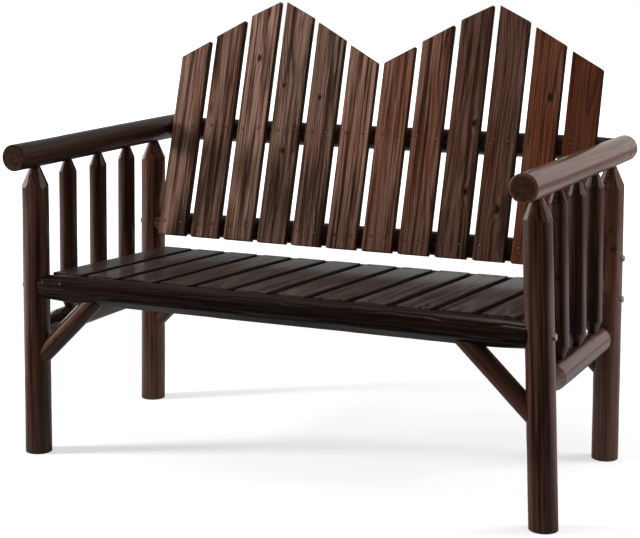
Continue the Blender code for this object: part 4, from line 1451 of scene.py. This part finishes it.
class BENCH_OT_braces(Operator):
    """Make the four corner braces"""

    bl_idname = "bench.braces"
    bl_label = "Corner braces"

    def execute(self, context):
        """Build the pieces."""
        for number, side in enumerate(SIDES):
            for end in ENDS:
                inwards = 1 if side == "left" else -1
                name = "brace_" + end + "_" + side
                log = Log(name, (inwards, 0, 1), (0, 1, 0), 80 + 2 * number + ENDS.index(end))
                log.sprinkle_knots(1, low=0.3, high=0.7)
                log.stain(*LOG_TONES["brace"])
                rail = rail_log(end + "_seat_rail", 0)
                rail.radius *= BRACE_HOLLOW_SHARE
                mesh = log.mesh(Fitted(post_log(side, end)), Fitted(rail))
                show_piece(mesh, name + "_log", "log_stain", [name])
        return {"FINISHED"}


# how much lighter and redder each back slat is, from the left: partly each board's own stain, partly
# painted shade that darkens the slats towards the right
BACK_STAINS_AND_SHADE = (
    (-0.1, -0.05),
    (-0.22, 0.1),
    (0.1, -0.2),
    (-0.22, -0.25),
    (-0.24, -0.1),
    (0.18, 0.1),
    (-0.06, 0.35),
    (-0.2, 0.3),
    (-0.47, 0.35),
    (-0.5, 0.3),
    (-0.25, 0.7),
    (-0.5, 1.0),
)
# knots of the back slats: share across from the middle, share of the length, radius
BACK_KNOTS = {
    3: [(-0.02, 0.76, 0.006)],
    4: [(0.03, 0.38, 0.0055), (-0.21, 0.65, 0.004)],
    5: [(-0.12, 0.66, 0.005)],
    9: [(0.3, 0.53, 0.006), (0.27, 0.26, 0.006)],
    10: [(0.13, 0.2, 0.007)],
    11: [(0.18, 0.7, 0.007)],
}
# screws of the slats: shares of the width from the middle, and distances from a seat slat's ends
SEAT_SCREW_SHARES = (-0.24, 0.3)
BACK_SCREW_SHARES = (-0.26, 0.29)
SEAT_SCREW_INSETS = (0.014, 0.022)


class BENCH_OT_seat_slats(Operator):
    """Make the seat slats and the screws in their ends"""

    bl_idname = "bench.seat_slats"
    bl_label = "Seat slats"

    def execute(self, context):
        """Build the pieces."""
        sizes = settings("bench_slats")
        tree = bpy.data.node_groups.get("slat_blank") or slat_blank_tree()
        points = []
        for number in range(1, SLAT_COUNT + 1):
            board = Board("seat_slat_%02d" % number, 200 + number)
            for end_place in (SEAT_SCREW_INSETS[0], board.left_length - SEAT_SCREW_INSETS[1]):
                for share in SEAT_SCREW_SHARES:
                    nudge = board.dice.uniform(-0.004, 0.004)
                    place = end_place + board.dice.uniform(-0.003, 0.003)
                    board.screws.append((share * board.width + nudge, place))
            mesh = board.mesh(tree, sizes, "seat_stain")
            show_piece(mesh, board.node + "_board", "seat_stain", [board.node], sharp=40)
            points += board.screw_points(sizes.pit_depth)
        place_screws("seat_slat_screws", points, seed=7)
        return {"FINISHED"}


class BENCH_OT_back_slats(Operator):
    """Make the back slats and the screws that hold them to the rails"""

    bl_idname = "bench.back_slats"
    bl_label = "Back slats"

    def execute(self, context):
        """Build the pieces."""
        sizes = settings("bench_slats")
        tree = bpy.data.node_groups.get("slat_blank") or slat_blank_tree()
        rails = [rail_log(level + "_back_rail", 0) for level in ("lower", "upper")]
        points = []
        for number in range(1, SLAT_COUNT + 1):
            board = Board("back_slat_%02d" % number, 100 + number)
            board.tone = (*BACK_STAINS_AND_SHADE[number - 1], 0)
            board.knots = BACK_KNOTS.get(number, [])
            for rail in rails:
                along_place = (rail.start - board.origin) @ board.along
                for share in BACK_SCREW_SHARES:
                    nudge = board.dice.uniform(-0.003, 0.003)
                    place = along_place + board.dice.uniform(-0.003, 0.003)
                    board.screws.append((share * board.width + nudge, place))
            mesh = board.mesh(tree, sizes, "back_stain")
            show_piece(mesh, board.node + "_board", "back_stain", [board.node], sharp=40)
            points += board.screw_points(sizes.pit_depth)
        place_screws("back_slat_screws", points, seed=8)
        return {"FINISHED"}


# rings of a bolt's crown and of an arm screw's recess: depth below the top, radius
BOLT_CROWN = ((0.0004, 0.0058), (0, 0.005), (0, 0.0042), (0.0005, 0.0038))
SCREW_RECESS = ((0, 0.0014), (0.001, 0.0012))


def bolt_profile(sizes, reach, radius):
    """Rings of a bolt with its washer and its head, and the numbers of the six-sided ones."""
    washer = reach - sizes.bolt_head_height - sizes.washer
    seat = washer + sizes.washer
    easing = sizes.washer_easing
    shank = [
        (0, sizes.bolt_shank - sizes.bolt_point),
        (sizes.bolt_point, sizes.bolt_shank),
        (washer, sizes.bolt_shank),
    ]
    disc = [
        (washer, radius - easing),
        (washer + easing, radius),
        (seat - easing, radius),
        (seat, radius - easing),
    ]
    flats = [(seat, sizes.bolt_head), (reach - sizes.bolt_crown, sizes.bolt_head)]
    crown = [(reach - depth, ring) for depth, ring in BOLT_CROWN]
    first_flat = len(shank + disc)
    return shank + disc + flats + crown, (first_flat, first_flat + 1)


def arm_screw_profile(sizes, reach, radius):
    """Rings of a screw through an arm, with a domed head and a round recess."""
    head = reach - sizes.screw_head_height
    shank = [
        (0, sizes.screw_point_radius),
        (sizes.screw_point, sizes.screw_shank),
        (head, sizes.screw_shank),
    ]
    dome = [
        (head, radius),
        (head + sizes.screw_head_side, radius),
        (reach - sizes.screw_crown, radius * 0.86),
        (reach, radius * 0.55),
    ]
    recess = [(reach - depth, ring) for depth, ring in SCREW_RECESS]
    return shank + dome + recess, ()


class BENCH_OT_bolts(Operator):
    """Make the bolts through the posts and the screws through the arms"""

    bl_idname = "bench.bolts"
    bl_label = "Bolts"

    def execute(self, context):
        """Build the pieces."""
        sizes = settings("bench_fasteners")
        for name in sorted(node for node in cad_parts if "bolt" in node or "screw" in node):
            points = square_points(name)
            low = Vector(points.min(axis=0))
            high = Vector(points.max(axis=0))
            side = 1 if "right" in name else -1
            middle = (low + high) / 2
            start = Vector((low.x if side > 0 else high.x, middle.y, middle.z))
            reach = high.x - low.x
            radius = (high.z - low.z) / 2
            shape = bolt_profile if "bolt" in name else arm_screw_profile
            mesh = turned_mesh(name, start, (side, 0, 0), *shape(sizes, reach, radius))
            lean_mesh(mesh)
            show_piece(mesh, name + "_metal", "bright_zinc", [name], sharp=30)
        return {"FINISHED"}


# place, target, width and height of each lamp
LAMPS = {
    "window": ((-3.4, -1.9, 1.55), (0, 0.1, 0.6), 0.6, 1.0),
    "sky": ((0.4, -0.6, 3.4), (0, 0.1, 0.5), 2.4, 2.4),
    "front": ((1.2, -4.4, 2.4), (0, 0, 0.6), 2.2, 1.6),
    "side": ((3.1, 1.5, 1.3), (0.4, 0.1, 0.5), 1.6, 2.2),
}


def area_lamp(name, power):
    """A soft lamp that isn't mirrored in gloss, in which the studio's walls show instead."""
    place, target, width, height = LAMPS[name]
    lamp = bpy.data.lights.new(name, "AREA")
    lamp.shape = "RECTANGLE"
    lamp.size = width
    lamp.size_y = height
    lamp.energy = power
    holder = bpy.data.objects.new(name, lamp)
    bpy.context.scene.collection.objects.link(holder)
    holder.location = place
    holder.rotation_mode = "QUATERNION"
    holder.rotation_quaternion = (Vector(target) - Vector(place)).to_track_quat("-Z", "Y")
    holder.visible_glossy = False


def studio_world():
    """A white studio: white to the camera, and to gloss from behind and the sides, dark in front."""
    world = bpy.data.worlds.new("studio")
    world.use_nodes = True
    bpy.context.scene.world = world
    nodes = Nodes(world.node_tree)
    seen = nodes.add("ShaderNodeLightPath", {}, {}, 0)
    glossy = nodes.add("ShaderNodeLightPath", {}, {}, 3)
    way = nodes.add("ShaderNodeTexCoord", {}, {}, 0)
    x, y, z = nodes.parts(way)

    # a wall round the back half, brighter straight behind and at both sides, and a bright ceiling
    wall = (y - x * 0.33 + 0.18).within(-0.06, 0.06)
    left = (x * -1).within(0.5, 0.95)
    right = x.within(0.55, 0.95)
    low = 1 - z.within(0.35, 0.75) * 0.8
    behind = y.within(0.84, 0.97)
    band = wall * (0.27 + left * 2.2 + right * 1.1 + behind * 0.48)
    gloss = 0.02 + low * band + z.within(0.9, 0.97) * 1.4
    soft = 0.21 + wall * 0.36
    strength = seen + (1 - seen) * (glossy * gloss + (1 - glossy) * soft)
    background = nodes.add("ShaderNodeBackground", {}, {"Color": (1, 1, 1, 1), "Strength": strength})
    nodes.add("ShaderNodeOutputWorld", {}, {"Surface": background})


FLOOR_COLOUR = (0.52, 0.508, 0.52)


def pale_floor():
    """A floor white to the camera, and pale to gloss only behind the bench and far to its left."""
    material, nodes = new_material("pale_floor")
    seen = nodes.add("ShaderNodeLightPath", {}, {}, 0)
    glossy = nodes.add("ShaderNodeLightPath", {}, {}, 3)
    place = nodes.add("ShaderNodeNewGeometry")
    x, y, _ = nodes.parts(place)
    behind = y.within(-0.8, 0.2)
    leftwards = (x * -1).within(1.3, 2.5)
    distance = nodes.add("ShaderNodeVectorMath", {"operation": "LENGTH"}, {0: place}, 1)
    pale = (behind * 0.65 + leftwards * 0.6).clipped()
    dimming = glossy * (1 - pale) * 0.97
    shade = nodes.mix(dimming, FLOOR_COLOUR, (0, 0, 0))
    matt = nodes.add("ShaderNodeBsdfDiffuse", {}, {"Color": shade})
    glow = (1 - glossy) * 0.1 + seen * (0.4 + distance.within(1.6, 4.5))
    lift = nodes.add("ShaderNodeEmission", {}, {"Color": (1, 1, 1, 1), "Strength": glow})
    finish_material(nodes, nodes.add("ShaderNodeAddShader", {}, {0: matt, 1: lift}))
    return material


class BENCH_OT_stage(Operator):
    """Make the floor, the lamps and the camera"""

    bl_idname = "bench.stage"
    bl_label = "Stage"

    def execute(self, context):
        """Build the stage."""
        stage = settings("bench_stage")
        material = pale_floor()
        mesh = bpy.data.meshes.new("floor")
        half = stage.floor
        corners = [(-half, -half, 0), (half, -half, 0), (half, half, 0), (-half, half, 0)]
        mesh.from_pydata(corners, [], [(0, 1, 2, 3)])
        mesh.materials.append(material)
        floor = bpy.data.objects.new("floor", mesh)
        bpy.context.scene.collection.objects.link(floor)

        for name in LAMPS:
            area_lamp(name, getattr(stage, name + "_power"))
        studio_world()

        lens = bpy.data.cameras.new("camera")
        lens.lens = stage.focal
        lens.sensor_width = 36
        lens.shift_y = stage.shift
        camera = bpy.data.objects.new("camera", lens)
        bpy.context.scene.collection.objects.link(camera)
        camera.location = stage.camera
        camera.rotation_euler = (math.pi / 2 + stage.pitch, 0, stage.yaw)
        bpy.context.scene.camera = camera
        bpy.context.scene.view_settings.view_transform = "Standard"
        return {"FINISHED"}


PIECES = (
    BENCH_OT_posts,
    BENCH_OT_arms,
    BENCH_OT_side_rails,
    BENCH_OT_balusters,
    BENCH_OT_seat_rails,
    BENCH_OT_back_rails,
    BENCH_OT_braces,
    BENCH_OT_seat_slats,
    BENCH_OT_back_slats,
    BENCH_OT_bolts,
    BENCH_OT_stage,
)


class BENCH_PT_panel(Panel):
    """Lists the steps that build the bench"""

    bl_idname = "BENCH_PT_panel"
    bl_label = "Patio bench"
    bl_space_type = "VIEW_3D"
    bl_region_type = "UI"
    bl_category = "Bench"

    def draw(self, context):
        """Draw the buttons and the settings."""
        for piece in PIECES:
            self.layout.operator(piece.bl_idname)
        for title in GROUPS:
            group = settings(title)
            for name in group.__annotations__:
                self.layout.prop(group, name)


GROUPS = {
    "bench_logs": BenchLogs,
    "bench_slats": BenchSlats,
    "bench_fasteners": BenchFasteners,
    "bench_finish": BenchFinish,
    "bench_stage": BenchStage,
    "bench_stance": BenchStance,
}


def register():
    """Register the classes and their settings."""
    for item in (*GROUPS.values(), *PIECES, BENCH_PT_panel):
        bpy.utils.register_class(item)
    for name, group in GROUPS.items():
        setattr(bpy.types.Scene, name, PointerProperty(type=group))


def unregister():
    """Take the settings and the classes away."""
    for name in GROUPS:
        delattr(bpy.types.Scene, name)
    for item in reversed((*GROUPS.values(), *PIECES, BENCH_PT_panel)):
        bpy.utils.unregister_class(item)


def main():
    """Build the bench."""
    register()
    for piece in PIECES:
        module, name = piece.bl_idname.split(".")
        getattr(getattr(bpy.ops, module), name)()


if __name__ == "__main__":
    main()
